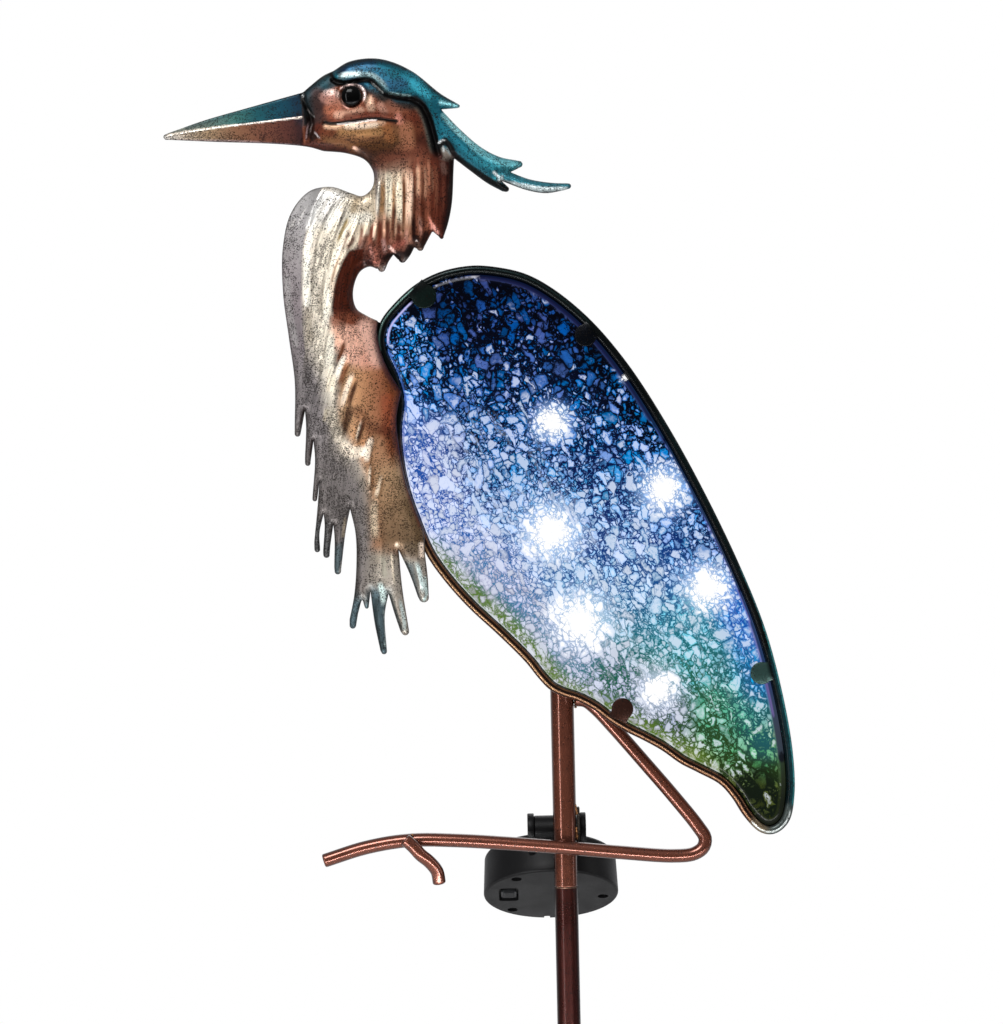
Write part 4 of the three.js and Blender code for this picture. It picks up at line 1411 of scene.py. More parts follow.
STRANDS = (
    # Neck
    *laps("""
    1.6 5 -95.2,697 -95.4,684 -96.6,672; 1.1 4 -90.6,694 -91,680 -92.6,664;
    1.1 4 -86.6,690 -87,676 -88.6,658; 1.5 5 -81.9,700 -82,684 -83.2,662;
    0.9 6 -76.2,702 -76.3,684 -77.4,658; 1.2 4.5 -72,708 -71.8,686 -72.4,664;
    1.2 5 -66.6,706 -66.2,688 -66.8,668;
    """),
    # Collar, from the top right to the lower left
    *laps("""
    1.4 7 -124.5,689.5 -130.5,680 -134.4,668; 1.3 6 -118,684 -124,675 -129.5,663 -132,651;
    1.5 6 -112.5,681 -118,669 -122.2,656 -125,642;
    1.9 7 -105,676 -109.4,664 -113.6,654 -119.4,641 -121.6,628; 1.2 4 -100,674 -102.6,664 -105.6,655;
    1.2 4 -95.6,672 -98,662 -100.8,653; 0.9 5 -130,657 -133,643 -133.6,629;
    1 5 -124.8,648 -127.6,634 -128.6,618;
    """),
    # Breast
    *laps("""
    1.3 6 -121.5,634 -123,621 -126,607 -128.6,594; 0.8 4 -128,612 -129.4,598 -130.6,582;
    1.8 6 1.4 -115.5,608 -118,599 -121,590; 1.7 6 1.4 -112.5,596 -116.6,586 -120.4,573;
    2 7 1.6 -108.5,588 -112.6,576 -116.6,562 -119.4,549; 1.5 4 1.2 -105.5,566 -108.6,557 -111,546;
    1.6 6 1.2 -100.2,555 -102.6,545 -104.8,532; 0.9 3 -102,539 -103.2,530 -104,521;
    1.2 4 -95.6,532 -98,524 -100,516; 0.8 4 -125.6,571 -128.4,562 -130,552;
    """),
    # Fringe
    *laps("""
    0.8 4 -97,500 -97.6,488 -98.6,474; 0.9 4 -91.4,492 -91.6,480 -92,470; 0.9 3 -77.6,494 -78,480 -76.6,468;
    """),
    # Plume
    *laps("""
    0.9 6 -60,728 -52,716 -40,704 -28,697; 0.7 3 -26,693.8 -14,688.6 2,686.6;
    """),
)


def swell(x: np.ndarray, z: np.ndarray, spot: Sequence[float]) -> np.ndarray:
    """Measure a soft dome given by its centre, its two radii and its height."""
    cx, cz, rx, rz, height = spot
    r = np.minimum(np.hypot((x - cx) / rx, (z - cz) / rz), 1.0)
    return height * (0.5 + 0.5 * np.cos(np.pi * r))


def groove(x: np.ndarray, z: np.ndarray, path: Path, depth: float, width: float) -> np.ndarray:
    """Measure a round groove along a line, as a negative height."""
    line = spline(path, 8)
    distance = nearest(line, x, z)[0]
    return -depth * (1 - smooth(distance, 0.15 * width, width))


def as_seen(x: np.ndarray, y: np.ndarray | float, z: np.ndarray) -> tuple[np.ndarray, np.ndarray]:
    """Find where points show in the plane that the colours were read in.

    Args:
        x: The points' x.
        y: Their depths.
        z: The points' z.

    Returns:
        The new x and z.
    """
    share = VIEW_REACH / (VIEW_REACH + y + READ_PLANE)
    return VIEW_CENTRE[0] + (x - VIEW_CENTRE[0]) * share, VIEW_CENTRE[1] + (z - VIEW_CENTRE[1]) * share


CREST_GROOVE = (
    (-119, 749), (-116, 747.4), (-110, 747.2), (-104, 748.6), (-100, 748.8), (-97, 747.5), (-93, 744),
    (-90, 740.8), (-85, 739), (-80, 738), (-75, 737), (-72, 735.5), (-69.5, 733), (-67, 728), (-65.5, 723),
    (-64, 717),
    (-62.8, 711), (-61.9, 707),
)
MOUTH = (
    (-124, 725.6), (-120, 725), (-115, 725.3), (-107, 726.3), (-100, 727), (-95, 727), (-90, 726.3),
    (-84.5, 725.5),
)
CHIN_GROOVE = ((-136, 742), (-135, 737), (-132.4, 731), (-131.6, 724), (-134, 715))
BEAK_RIDGE = ((-211.5, 720.2), (-200, 722), (-180, 724.5), (-160, 726.3), (-136, 728.6))
COLLAR_RIDGE = (
    (-125, 689.5), (-131, 680), (-134, 670), (-137, 655), (-138, 640), (-138.5, 625), (-138, 612),
    (-136.8, 600),
    (-136, 588),
)
CAP = (
    (-119, 756), (-118, 750), (-110, 748), (-104, 749.5), (-98, 749), (-91, 742.5), (-85, 740), (-75, 738),
    (-69, 734), (-64.5, 724), (-62, 714), (-58, 714.5), (-54, 706), (-40, 690), (-20, 680), (30, 680),
    (30, 770), (-119, 775),
)
FACET = (
    (-125, 692), (-131, 680), (-134.6, 670), (-137.6, 655), (-138.6, 640), (-138.8, 625), (-137.4, 600),
    (-140, 584), (-146, 584), (-156, 620), (-156, 680), (-135, 696),
)
PLUME_LOW = ((-58, 714), (-55.5, 711), (-53.4, 706.6), (-46, 700), (-38, 694.2), (-30, 689.4), (-24.6, 686.8))

HERON_COATS: tuple[Stroke | Wash, ...] = (
    # Beak; the cream line along the ridge is a painted highlight
    *coats("""
    wash -212,0 -134,0 .6 1 | 0 #8f8f86 .2 #757d73 .36 #56706a .5 #366460 .65 #174a52 .8 #0c3b4a .92 #082c3c
        1 #061822 | -214,719 -200,722 -180,724.5 -160,726.3 -134,728.8 -133,746 -160,740 -214,724;
    wash -212,0 -134,0 .6 1 | 0 #a8a49f .15 #8a7b6a .3 #78634c .5 #664632 .7 #553124 .85 #402019 1 #260f10
        | -214,719.6 -200,722 -180,724.5 -160,726.3 -134,728.8 -134,708 -214,712;
    #1a3a42 .4 1.6 .6  -200,724.6 -165,734.4 -138,741.4;
    #8e8286 .3 .8 .6  -205,717.4 -170,715.8 -138,713;
    #0a2436 1.5 5 .7  -139,740 -137,734 -136,729;
    #1f0d10 1.5 4 .6  -137,727 -136,715;
    #fff1e0 .3 .45 1  -210.5,720.6 -200,722 -180,724.5 -172,725.2;
    #fbe9dc .2 .4 1  -174,725.1 -160,726.4 -148,727.6 -136,728.7;
    """),
    # Face, from the cheek to the throat; the pale strokes on the cheeks, round the eye, on the lower lip, at
    # the mouth's corner and under the chin and the grey band beside the groove are painted highlights, and
    # the dark strokes under the brow and along the throat are painted shade
    *coats("""
    patch #6b3a28 1 1  -136,743 -119,752 -90,742 -72,736 -64,720 -62,704 -56,702 -56,690 -98,690 -98,704
        -112,707 -136,709;
    wash 0,742 0,704 8 1 | 0 #2f2420 .14 #6e4030 .3 #834b36 .42 #6b3526 .55 #7d5438 .72 #63432a .86 #4a2c1c
        1 #341f17 | -124,742 -70,740 -66,712 -72,700 -98,702 -126,710;
    #5a2a1c 1.6 5 .85  -73,731 -71,716 -70,702;
    #3c1b12 2.5 5 .9  -69,714 -66,704 -64,694;
    patch #12262b 3 .95  -137,744 -129,749 -118,755 -112,749 -116,746 -123,741 -125,734 -126,724 -136,724;
    patch #173a42 5 .8  -133,742 -127,747 -121,751 -122,745 -128,737;
    patch #0b0b0c 2 1  -122,753 -113,752 -110,747 -118,746;
    patch #180e0c 3 .9  -135,730 -129,730 -126.4,724 -127,717 -131,714 -134.6,718;
    #3b1d18 1.6 2.4 .9  -133,712.6 -124,711.8 -114,710;
    #1c2626 1.2 3 .85  -101,745 -96,742.4 -91,738.4 -84,735.6 -76,734;
    #8a5a4c 2.6 4.4 .75  -120,737 -116,736;
    #3a2420 1.6 4.5 .8  -127.4,741 -126.4,734 -126,727;
    #b7a39d .4 2.2 .6  -123,741.6 -120.4,742.2;
    #a97a6e 1.2 3 .5  -124,739.4 -119,740.4;
    #d8bcb0 .3 2.0 .5  -121,741.6 -118,742.2 -116.2,740.4;
    #b07a66 1.0 2.6 .5  -121,736.6 -117,736;
    #a05f46 1.0 2.6 .7  -122,732.6 -117,733.6;
    #caa088 .8 2.4 .6  -117,729.6 -110,730 -104,731.6;
    #d2ae94 .8 2.8 .6  -99.4,737.6 -98.2,732.6;
    #d09a84 .9 2.4 .75  -93,734 -91,730.6;
    #9a6450 1.4 3 .6  -88,734 -84,731;
    #5b2a1e .8 2 .8  -112,728.4 -100,729.4 -90,729;
    #5a2618 1.6 2.8 .7  -127,722.4 -121,720.4;
    #caa184 .9 1.6 .85  -123,723.6 -114,723.2 -104,723.8 -92,724.6;
    #f4ddc6 .6 1.6 .9  -112,722.6 -104,722.8 -96,723.4;
    #b08456 1.4 2.6 .6  -114,720 -104,719.4 -94,720.6;
    #5c3a22 1.8 3.4 .75  -116,715.6 -104,714.4 -95,714;
    #a4683f 1.4 2.6 .6  -90,722 -88,716;
    #c88472 .6 2.4 .8  -83.4,727.6 -82,724.8;
    #ab7054 1.6 4 .75  -79.6,722 -78.6,713;
    #8f5a42 .8 2.2 .6  -84,710.6 -77.6,711.2;
    #dcb09a .4 1.0 .9  -108,711.2 -105.4,709.8;
    #35211a 1.6 3 .85  -104,709 -97,702 -96,694;
    #3a2a20 2.2 3 .8  -94,705.4 -86,704.6;
    #565e55 .6 2.4 .6  -72.6,733 -69.6,728 -67,719 -64.8,709;
    #8f958a .1 .9 .4  -71,730.6 -68.4,722 -66,712;
    """),
    # Cap and plume; the cyan spots on the cap and the pale bands along the plume's upper edge are painted
    # highlights
    patch("#185f6e", CAP, 1.2),
    *coats("""
    wash -118,0 -58,0 5 1 | 0 #0e1a26 .12 #142f44 .3 #164c5f .55 #195c6c .78 #1e6c7b 1 #227482
        | -119,756 -112,747 -90,741 -68,734 -50,728 -48,740 -70,756 -98,764;
    #16294a 1.4 3.2 .6  -112,757.2 -104,758 -98,757.6;
    #0b222a .4 1.6 .85  -116,755.6 -100,759.6 -86,757.4 -74,751.4 -60,739.6 -52,735;
    #2c5f7a 1.6 3 .5  -108,754 -97,753.6 -90,748.6;
    #34507a 1.4 4 .4  -88,744.4 -80,746;
    #3fa9bf 1.0 3.4 .8  -74.4,746.4 -70.6,743 -68.4,739.6;
    #2f8fa4 1.2 3.4 .6  -77,750 -72,747;
    #10424f 1.4 3.4 .7  -84,738.8 -76,738 -70,736;
    #8ecdd4 .4 1.3 .9  -60,735.4 -55,734 -51,733;
    #134a59 1.0 2.6 .8  -63.6,736 -60.6,729;
    wash -62,722 -18,694 3 1 | 0 #1a6172 .35 #247486 .7 #358b9a 1 #45979f
        | -64,732 -58,732 -40,714 -26,706 -14,704 -20,694 -30,690 -40,696 -54,706 -62,714;
    #164c5a 1.2 3.2 .85  -57,714 -50,706 -42,699.6 -34,695;
    #a5e9ef .7 1.7 .95  -58.2,728 -52,720.4 -45,713.6 -38,708.2;
    #7cc9d2 .9 2.4 .75  -42,710.2 -33,704.6 -24,701.4 -18,700.4;
    #1b4d5a .8 1.6 .8  -30,697.4 -25,695.6;
    patch #3a8392 1 1  -26,696 -10,692 10,690 10,687.6 -8,688 -20,690.6 -27,693;
    patch #d5e3e4 1 1  -26,691.6 -18,690 -6,687.6 9,687 8,685 -4,683 -16,686.4;
    #5d5a58 .3 .9 .8  -44,697.4 -36,692 -30,688.8;
    #10282d .3 .7 .8  -28,692 -18,687.6 -6,684.6 4,685;
    #eef6f6 .3 .8 .9  -31.4,696 -28.4,693 -26,690.4;
    """),
    Stroke("#0f1314", PLUME_LOW, 1.25, 1.2),
    # Lines of the head; the pale lines above and in the crest groove, under the mouth, round the eye and at
    # the beak's base are painted highlights
    Stroke("#0b0b0c", CREST_GROOVE, 1.15, 1.3),
    Stroke("#0d0b0a", MOUTH, 0.5, 0.9),
    *coats("""
    #0b0b0c 1.7 2.2 1  -74,736.6 -70.5,733.6 -67.8,728 -66.3,723 -64.8,717 -63.4,711 -62.3,707;
    #0a0a0b 1.3 .9 1  -63.4,711 -62,707 -61,705.8;
    #5f8a90 .4 1.8 .55  -113,750.4 -108,751.4 -102,751.6 -97,750.6 -93,747 -89.6,743;
    #d4e2e0 .2 2.0 .7t  -117,750.6 -110,751.8 -101,751.8;
    #b9cccb .1 1.8 .5t  -104,751.8 -97,751 -92,747 -88.6,743;
    #8ba7a6 .1 .9 .6  -88,741.2 -82,740 -77,739.4;
    #d8dad6 .1 .5 .5  -97.4,746.4 -94,743.4 -91.6,741.2;
    #f6f8f8 .2 .7 .9  -61.4,713 -59.4,714.2 -57.6,713.6;
    #101213 .9 .8 1  -61,711 -59,712.8 -57,713 -55,710.4 -53.6,707;
    #d0d8d8 .1 .7 .9  -59.2,710.6 -58.8,708.4;
    #8a9696 .1 .7 .7  -57,710 -55.6,706.6;
    #fbf3ee .1 .45 .95  -117,724.4 -112,724.7 -105,725.4 -100,726.1 -95.6,726.2;
    #e9cbc4 .1 .8 .8  -114.6,744.2 -111,745.6 -107,745.8 -104,744.8;
    #f4dcd6 .4 .8 1t  -105.4,745.6 -102.4,743.2 -101.6,740 -102.8,736.4;
    #c99a8c .1 .8 .8  -114.4,737.6 -113,735 -110.8,733;
    #070707 .8 1.0 1  -136,741.4 -135.6,737 -133.4,733 -130.4,729;
    #dfe3e2 .1 .5 .8  -136.4,741.2 -135.6,740.4;
    #8a8482 .1 .4 .5  -133.4,733 -131.6,730.8 -129.6,728.8;
    #b89a9a .1 .5 .7t  -132.5,727 -133.8,721 -134.6,715
    ;
    #948684 .1 .3 .6t  -130.2,726 -131.6,722.6 -132.6,719.4;
    #d6caca .1 .4 .75t  -130,721 -128.4,718.6 -126.4,716.6;
    """),
    # Neck; the white hairline on the left strand and the pink strokes low on the right are painted highlights
    *coats("""
    wash -99,0 -53,0 10 1 | 0 #5f5456 .06 #7d7070 .1 #b4a290 .2 #d6c3aa .32 #d2baa0 .42 #c49e84 .5 #ac7a60
        .6 #86503a .72 #642f20 .85 #3f1a12 1 #201010 | -99,699 -88,700 -76,703 -62,705 -53,706 -53,660 -60,655
        -80,656 -92,668 -97,680;
    wash 0,676 0,648 14 .95 | 0 #c09a7c .3 #a4765a .55 #7e4a38 .8 #5e2c20 1 #4c2018
        | -107,664 -94,676 -80,673 -75,668 -75,655 -84,644 -110,642;
    #5a2a1c 2.6 3 .8  -73,700 -73,680 -74,664;
    #f9f2e2 .3 .8 1t  -94.6,696 -95.4,684 -96.6,672;
    #97704a .8 1.0 .95t  -92.8,696 -93,684 -94.2,670;
    #f5ead2 1.0 1.3 .9t  -89.6,700 -89.4,688 -90,670;
    #a5794f .3 .9 .9t  -86.8,694 -87,682 -88,668;
    #5f3222 .5 .9 .95t  -86.4,682 -87.2,674 -88.4,660;
    #f3e6cc .9 1.2 .9t  -84.4,698 -83.8,688 -84,666;
    #7d492b .4 .9 .95t  -81.2,700 -81.2,684 -82.2,664;
    #eec8ae .9 1.2 .9t  -78.8,700 -78.4,686 -79,666;
    #e4c4ac .1 .9 .6t  -77,700 -76.6,690 -77.2,676;
    #6a3a2a .4 1.4 .5t  -75.2,696 -75,680 -75.8,656;
    #cfa386 .3 1.2 .75t  -73.6,704 -73.2,694 -73.8,682;
    #b98a6e .2 1.0 .7t  -69.6,703 -69.2,692 -69.8,680;
    #a07058 .2 1.0 .6t  -66,702 -65.4,692 -65.8,684;
    #a8745a .3 1.0 .8t  -71,708 -71.6,696 -72,680;
    #9c6850 .3 1.1 .75t  -67.6,708 -67.4,696 -68.4,682;
    #84503c .3 1.2 .65t  -63.6,704 -63.2,690 -64,674;
    #7a4232 .3 1.2 .5t  -59.4,700 -59.4,686 -60.6,670;
    #6a3a2a 3 5 .7  -92,703 -80,704 -72,706;
    #1f0d0c .8 1.8 .95  -54.4,702 -55.4,680 -58.6,666;
    #6e5148 .6 2.0 .7  -59.4,701 -58.6,697;
    #d99a8c .4 .9 .95  -66.4,669 -64.6,665.6 -63.4,663.4;
    #b3705f .3 .8 .9  -67.4,672 -66,668;
    """),
    # Teeth at the bottom of the neck; the pale pink strokes and the thin pale lines at the tips are painted
    # highlights
    *coats("""
    #2a110c .6 1.2 .95t  -76.4,676 -76.4,655;
    #f4e6d0 .5 1.0 .95t  -101,676 -102.4,662;
    #6d3224 .5 1.0 .95t  -98.6,674 -100,657;
    #ecc9b0 .4 .9 .9t  -97,674 -98.4,659;
    #5d2a1c .7 1.2 .95t  -94.2,675 -95.6,653;
    #dba88c .3 .8 .9t  -92,676 -92.8,660;
    #52261b .6 1.0 .9t  -90.2,674 -91,656;
    #e0b596 .3 .8 .8t  -85.8,674 -86.2,662;
    #4a2015 .7 1.2 .9t  -84.4,673 -85,654;
    #a06050 1.0 2.0 .8  -98.6,655 -97,648;
    #c2948a .3 1.4 .8t  -93.4,662 -92.6,656 -92,652;
    #b08070 .3 1.3 .7t  -80,668 -80.6,660 -81,655;
    #a87868 .3 1.3 .7t  -72.8,674 -72.4,666 -72.6,660;
    #c88a7c .3 1.2 .8  -100.4,656 -99,651;
    #f0c4b8 .3 .9 .95  -90,656.4 -87.6,654;
    #9a5548 .6 2.0 .7  -86.6,657 -82,658.6;
    #eacfc8 .5 1.3 .85  -106.4,652.4 -104.8,647.4;
    #b98578 .3 1.2 .7  -108.4,649.6 -107,647.2;
    #2c100c .6 1.4 .9  -103,648.6 -100.4,647.6;
    #140a09 .7 1.2 .95  -92.4,650 -89.6,652 -86.6,651 -84,648.4;
    #140a09 1.4 1.5 .95  -86,652 -81,652 -78,656;
    #1a0b0a 1.1 1.5 .9  -75.4,661 -72.4,657 -69.4,663;
    #d8c9c5 .1 .5 .9  -96.2,643.4 -94,642.8 -92.8,645.6;
    #b9aca8 .1 .5 .9  -83,647.6 -80.4,650;
    #e8d5cf .1 .5 .9  -75,659.4 -74,656.8;
    """),
    # Collar and breast; the pink strokes on the copper are painted highlights
    *coats("""
    wash -150,0 -84,0 2 1 | 0 #7d7879 .14 #7f7879 .2 #c4b9ab .34 #ebe1ce .52 #e3d8c4 .66 #d8c8b0 1 #ccb89c
        | -154,696 -97,694 -97,672 -106,660 -114,650 -120,636 -122,600 -122,560 -154,560;
    patch #e9e7e4 9 .75  -130,684 -121,690 -112,687 -122,672 -133,668;
    wash -124,0 -88,0 5 1 | 0 #d6a890 .35 #dba892 .7 #cd8d76 .85 #9c5038 1 #5e2c1e
        | -123,618 -112,620 -104,620 -94,614 -92,584 -104,582 -116,592 -123,606;
    wash -118,0 -84,0 7 1 | 0 #ba9470 .3 #b2835e .6 #a0684a .8 #85492c 1 #4c2517
        | -118,594 -106,590 -92,590 -82,576 -84,545 -82,525 -74,500 -74,484 -104,490 -104,530 -112,548
          -120,560;
    wash 0,560 0,500 12 1 | 0 #7a7474 .5 #726c6a 1 #6a6462
        | -146,585 -136,600 -128,585 -124,560 -122,544 -112,534 -104,520 -102,500 -106,470 -118,440 -146,470;
    wash 0,530 0,486 16 .9 | 0 #a48868 .35 #8c7256 .8 #6e5a44 1 #857a68
        | -104,534 -84,540 -80,520 -73,500 -73,484 -90,488 -100,484;
    patch #4a1e11 1.6 1  -104,656 -112,655 -116,649 -119.4,640 -121,632 -122.4,624 -121.4,618 -112,614
        -106,614
        -104,630;
    #6b3520 .8 1.6 .7t  -119.6,640 -121.6,634 -122.6,627;
    #7c4430 1.4 5 .8  -120,617 -111,617 -104,618;
    #e6b8a6 2.4 6 .75  -103,612 -100,604 -97,596;
    #e2b09a 2 5 .5  -108,604 -112,598;
    #4e2216 1 3 .7  -98,615 -96.8,604 -94,592 -88,580;
    """),
    # Left facet, whose grey is partly the paint's own and partly a painted reflection of the dim surroundings
    # on its left
    *coats("""
    wash 0,690 0,585 .8 1 | 0 #a6a4a3 .3 #918c8c .6 #857c7e .85 #7c7476 1 #746f6f
        | -125,692 -131,680 -134.6,670 -137.6,655 -138.6,640 -138.8,625 -138.4,612 -137.4,600 -140,584
          -146,584
        -156,620 -156,680 -135,696;
    #a9a6a4 .6 2.2 .5  -146.6,640 -145.6,622 -142.6,604;
    #c9c5c2 .1 .9 .8t  -141,667 -137.6,675 -134,681;
    #c4c0bb .1 .9 .7t  -144,667 -141,674;
    """),
    # Collar streaks; the pale strokes along the strands' edges are painted highlights, and the grey and brown
    # strokes beside them are partly the feathers' own colour and partly painted shade
    *coats("""
    #faf8f4 .8 1.8 .95  -125,687 -130.6,678 -134,668.4;
    #a09a94 .3 .9 .9t  -117,684 -123,676.6 -127.4,668;
    #f6f1e6 .6 1.2 .9t  -116,682.6 -121.6,674.6 -125.6,664;
    #a8a29a .1 .9 .7t  -122,684.6 -128,675 -130.4,668;
    #fbf6e8 .9 1.8 .85  -132,668 -135,656 -136,640 -135.8,626;
    #99928a .2 1.0 .8t  -111,682 -115.6,673 -118.6,664;
    #f4ecda .6 1.2 .9t  -109.6,680 -114.4,670 -119,658;
    #86703f .4 1.0 .95t  -110.4,676 -115,667.4 -119.4,657;
    #9a835f .8 2 .6  -107.4,682 -109.6,677;
    #8a7060 .4 1.0 .9t  -110.4,668 -114,660.6 -118,652;
    #f6edda .6 1.2 .9t  -113.6,665 -118,655 -122.4,645 -125.4,633;
    #f4e0c8 .7 1.1 .95t  -112.6,656.6 -117.6,648.6 -121.6,638 -123.4,626;
    #a77f60 .1 .9 .8t  -116,655 -120,645.6 -122.8,635;
    #8f857a .3 1.2 .7t  -122,668 -127,655 -129.4,642;
    #84796c .5 1.6 .6t  -126.6,642 -128.8,628 -128.8,614;
    #f8f2e2 .8 1.4 .9t  -123.4,638 -125,624 -126,611;
    #8a7f6c .9 2.2 .5t  -134.6,628 -134.8,614 -133.8,600;
    #fbf6e8 1.4 3 .7  -109,672 -102,673;
    #7a5344 .4 1.0 .95t  -104.4,670 -105.4,662 -107.4,655;
    #6b4436 .5 1.4 .85t  -108.6,664 -111,659 -114.6,655;
    """),
    # Breast strands, each a pale edge of painted highlight with a dark wedge of painted shade behind it
    *coats("""
    #f9f2e0 1.2 1.6 .95t  -122.6,612 -124,600 -125.4,588;
    #6e3f28 .7 1.1 .95t  -115.4,606 -117.6,599 -120.4,592;
    #fbf3e4 .8 1.1 .95t  -114.6,599 -118.4,591.6 -121.6,582;
    #f0e3cb 1.3 2 .85t  -122.6,588 -124.6,576;
    #7d4d32 .9 1.1 .9t  -113.4,595 -116.8,586.6 -119.4,579;
    #f2e0ca .7 1.2 .9t  -111,589 -115,579 -118.6,567;
    #61402f .7 1.1 .95t  -108.8,584.6 -112,576.6 -115,568;
    #4a2f22 1.2 1.8 .85t  -112,572 -115.6,561 -118.2,551;
    #e6d1b8 .3 .8 .95t  -106.6,562.4 -109,556 -110.6,549;
    #44281c .6 1.0 .95t  -105.4,562 -107.6,555.6 -109.8,548;
    #5c3020 1.6 3 .5  -109,566 -104.6,560 -100,554;
    #ebdcc8 1.4 3 .9  -117,547 -113.6,543.6 -108,544;
    #f8ecd9 .8 1.3 .95t  -101.4,552 -103.6,545 -105.6,537;
    #faf0e0 .7 1.6 .8  -102.6,550 -106.4,543;
    #e6d3bb .2 .8 .9t  -102.8,537.6 -103.6,531 -104,524;
    #7d5437 .4 1.0 .8t  -101,539 -101.8,530 -102.4,522;
    #efddc2 .5 1.0 .9t  -96.4,532 -98.4,525 -100.8,518;
    #6c472c .3 .9 .9t  -95.4,532 -97,524 -98.6,517;
    #cdc0aa .3 1.2 .8  -126.8,567 -127.6,562;
    #d8c6aa .6 2.4 .7t  -101,520 -101.6,508 -101,494;
    #54422c 1.2 4 .6  -82,516 -77,500 -75,490;
    #c9bda8 1.8 3 .5  -124,566 -120,552;
    #9c4630 1.6 4 .4  -93,572 -92,556;
    #b08c6a 2.4 5 .5  -100,548 -97,536 -93,520;
    #4a2218 1.4 3 .6  -96,556 -90,552 -87.6,548;
    #4b1f14 .7 1.8 .75  -97.6,606 -93,592 -86,578 -87.8,562 -86.6,545 -83,525 -76,503;
    """),
    # Fringe; the teal-white strokes on the tips are painted highlights and the dark strokes on their left
    # sides are painted shade
    *coats("""
    patch #53646a 8 1  -120,470 -112,466 -108,462 -104,470 -94,468 -92,430 -120,430;
    patch #4c5e63 6 .8  -126,492 -119,494 -118,476 -126,474;
    patch #575a5b 6 .7  -136,508 -126,506 -126,484 -137,486;
    patch #46565b 5 .8  -86,484 -80,482 -76,458 -82,462;
    #dcefec .5 1.2 .95t  -79,484 -76.8,475 -74.8,464;
    #b9cfcc .3 .9 .8  -74.4,474 -73.6,466 -75,461.6;
    #1c2628 .3 1.0 .8  -84.6,482 -80.6,470 -78,462;
    #f7dfc8 .5 1.7 .95  -76,492 -75.8,486;
    #f1dcc2 .3 1.0 .9  -89.4,492.6 -89.9,489.6;
    #f4e4cb .1 .8 .9t  -92.4,490 -92,480 -91,469;
    #a9a494 .6 1.6 .7t  -97.4,488 -96,472;
    #2b3435 .8 1.4 .8  -101,462 -101.6,450 -98.6,436;
    #e6fbf6 .6 1.6 .95t  -99.6,473 -97.8,466 -97,458;
    #cfe3df .1 .5 .9  -97.2,456 -96.8,446 -96.8,437;
    #2d3738 .7 1.0 .8  -94,464 -90.6,454 -87.6,446;
    #cfdfdb .3 1.1 .9t  -88.8,464 -86.8,454 -85.4,443;
    #3c3836 .4 2.4 .5  -111,494 -111.4,474 -112.4,464;
    #bfae96 .2 1.0 .8  -117.6,507 -118.6,498;
    #e8e2da .1 .6 .8  -119.8,484 -121,478;
    #2a1710 .2 .9 .8  -139,568 -140.8,560;
    #2a1710 .2 .9 .8  -134.6,551 -136,543;
    """),
)

SPATTER = (
    # Where the dark spatter is dense: x,z of both ends, half width, soft width and density
    (-205, 719, -140, 716, 3, 3, 1.0),
    (-190, 727, -140, 733, 3, 3, 0.8),
    (-112, 752, -70, 742, 6, 4, 0.85),
    (-62, 728, -20, 697, 6, 4, 0.8),
    (-94, 706, -86, 703, 5, 3, 1.0),
    (-112, 720, -84, 714, 4, 4, 0.8),
    (-94, 690, -80, 690, 5, 5, 0.7),
    (-112, 684, -104, 680, 3, 4, 1.0),
    (-98, 690, -97, 680, 2, 3, 1.0),
    (-146, 672, -144, 606, 3, 3, 0.9),
    (-122, 668, -131, 640, 2, 4, 0.95),
    (-104, 652, -92, 652, 4, 4, 0.9),
    (-131, 650, -135, 600, 3, 4, 0.85),
    (-118, 628, -110, 600, 4, 4, 1.0),
    (-134, 606, -132, 560, 5, 5, 0.95),
    (-130, 560, -112, 510, 8, 6, 1.0),
    (-113, 568, -114, 552, 4, 4, 1.0),
    (-98, 560, -92, 505, 7, 5, 1.0),
    (-108, 520, -110, 470, 6, 5, 1.0),
    (-130, 520, -128, 490, 4, 4, 0.9),
)


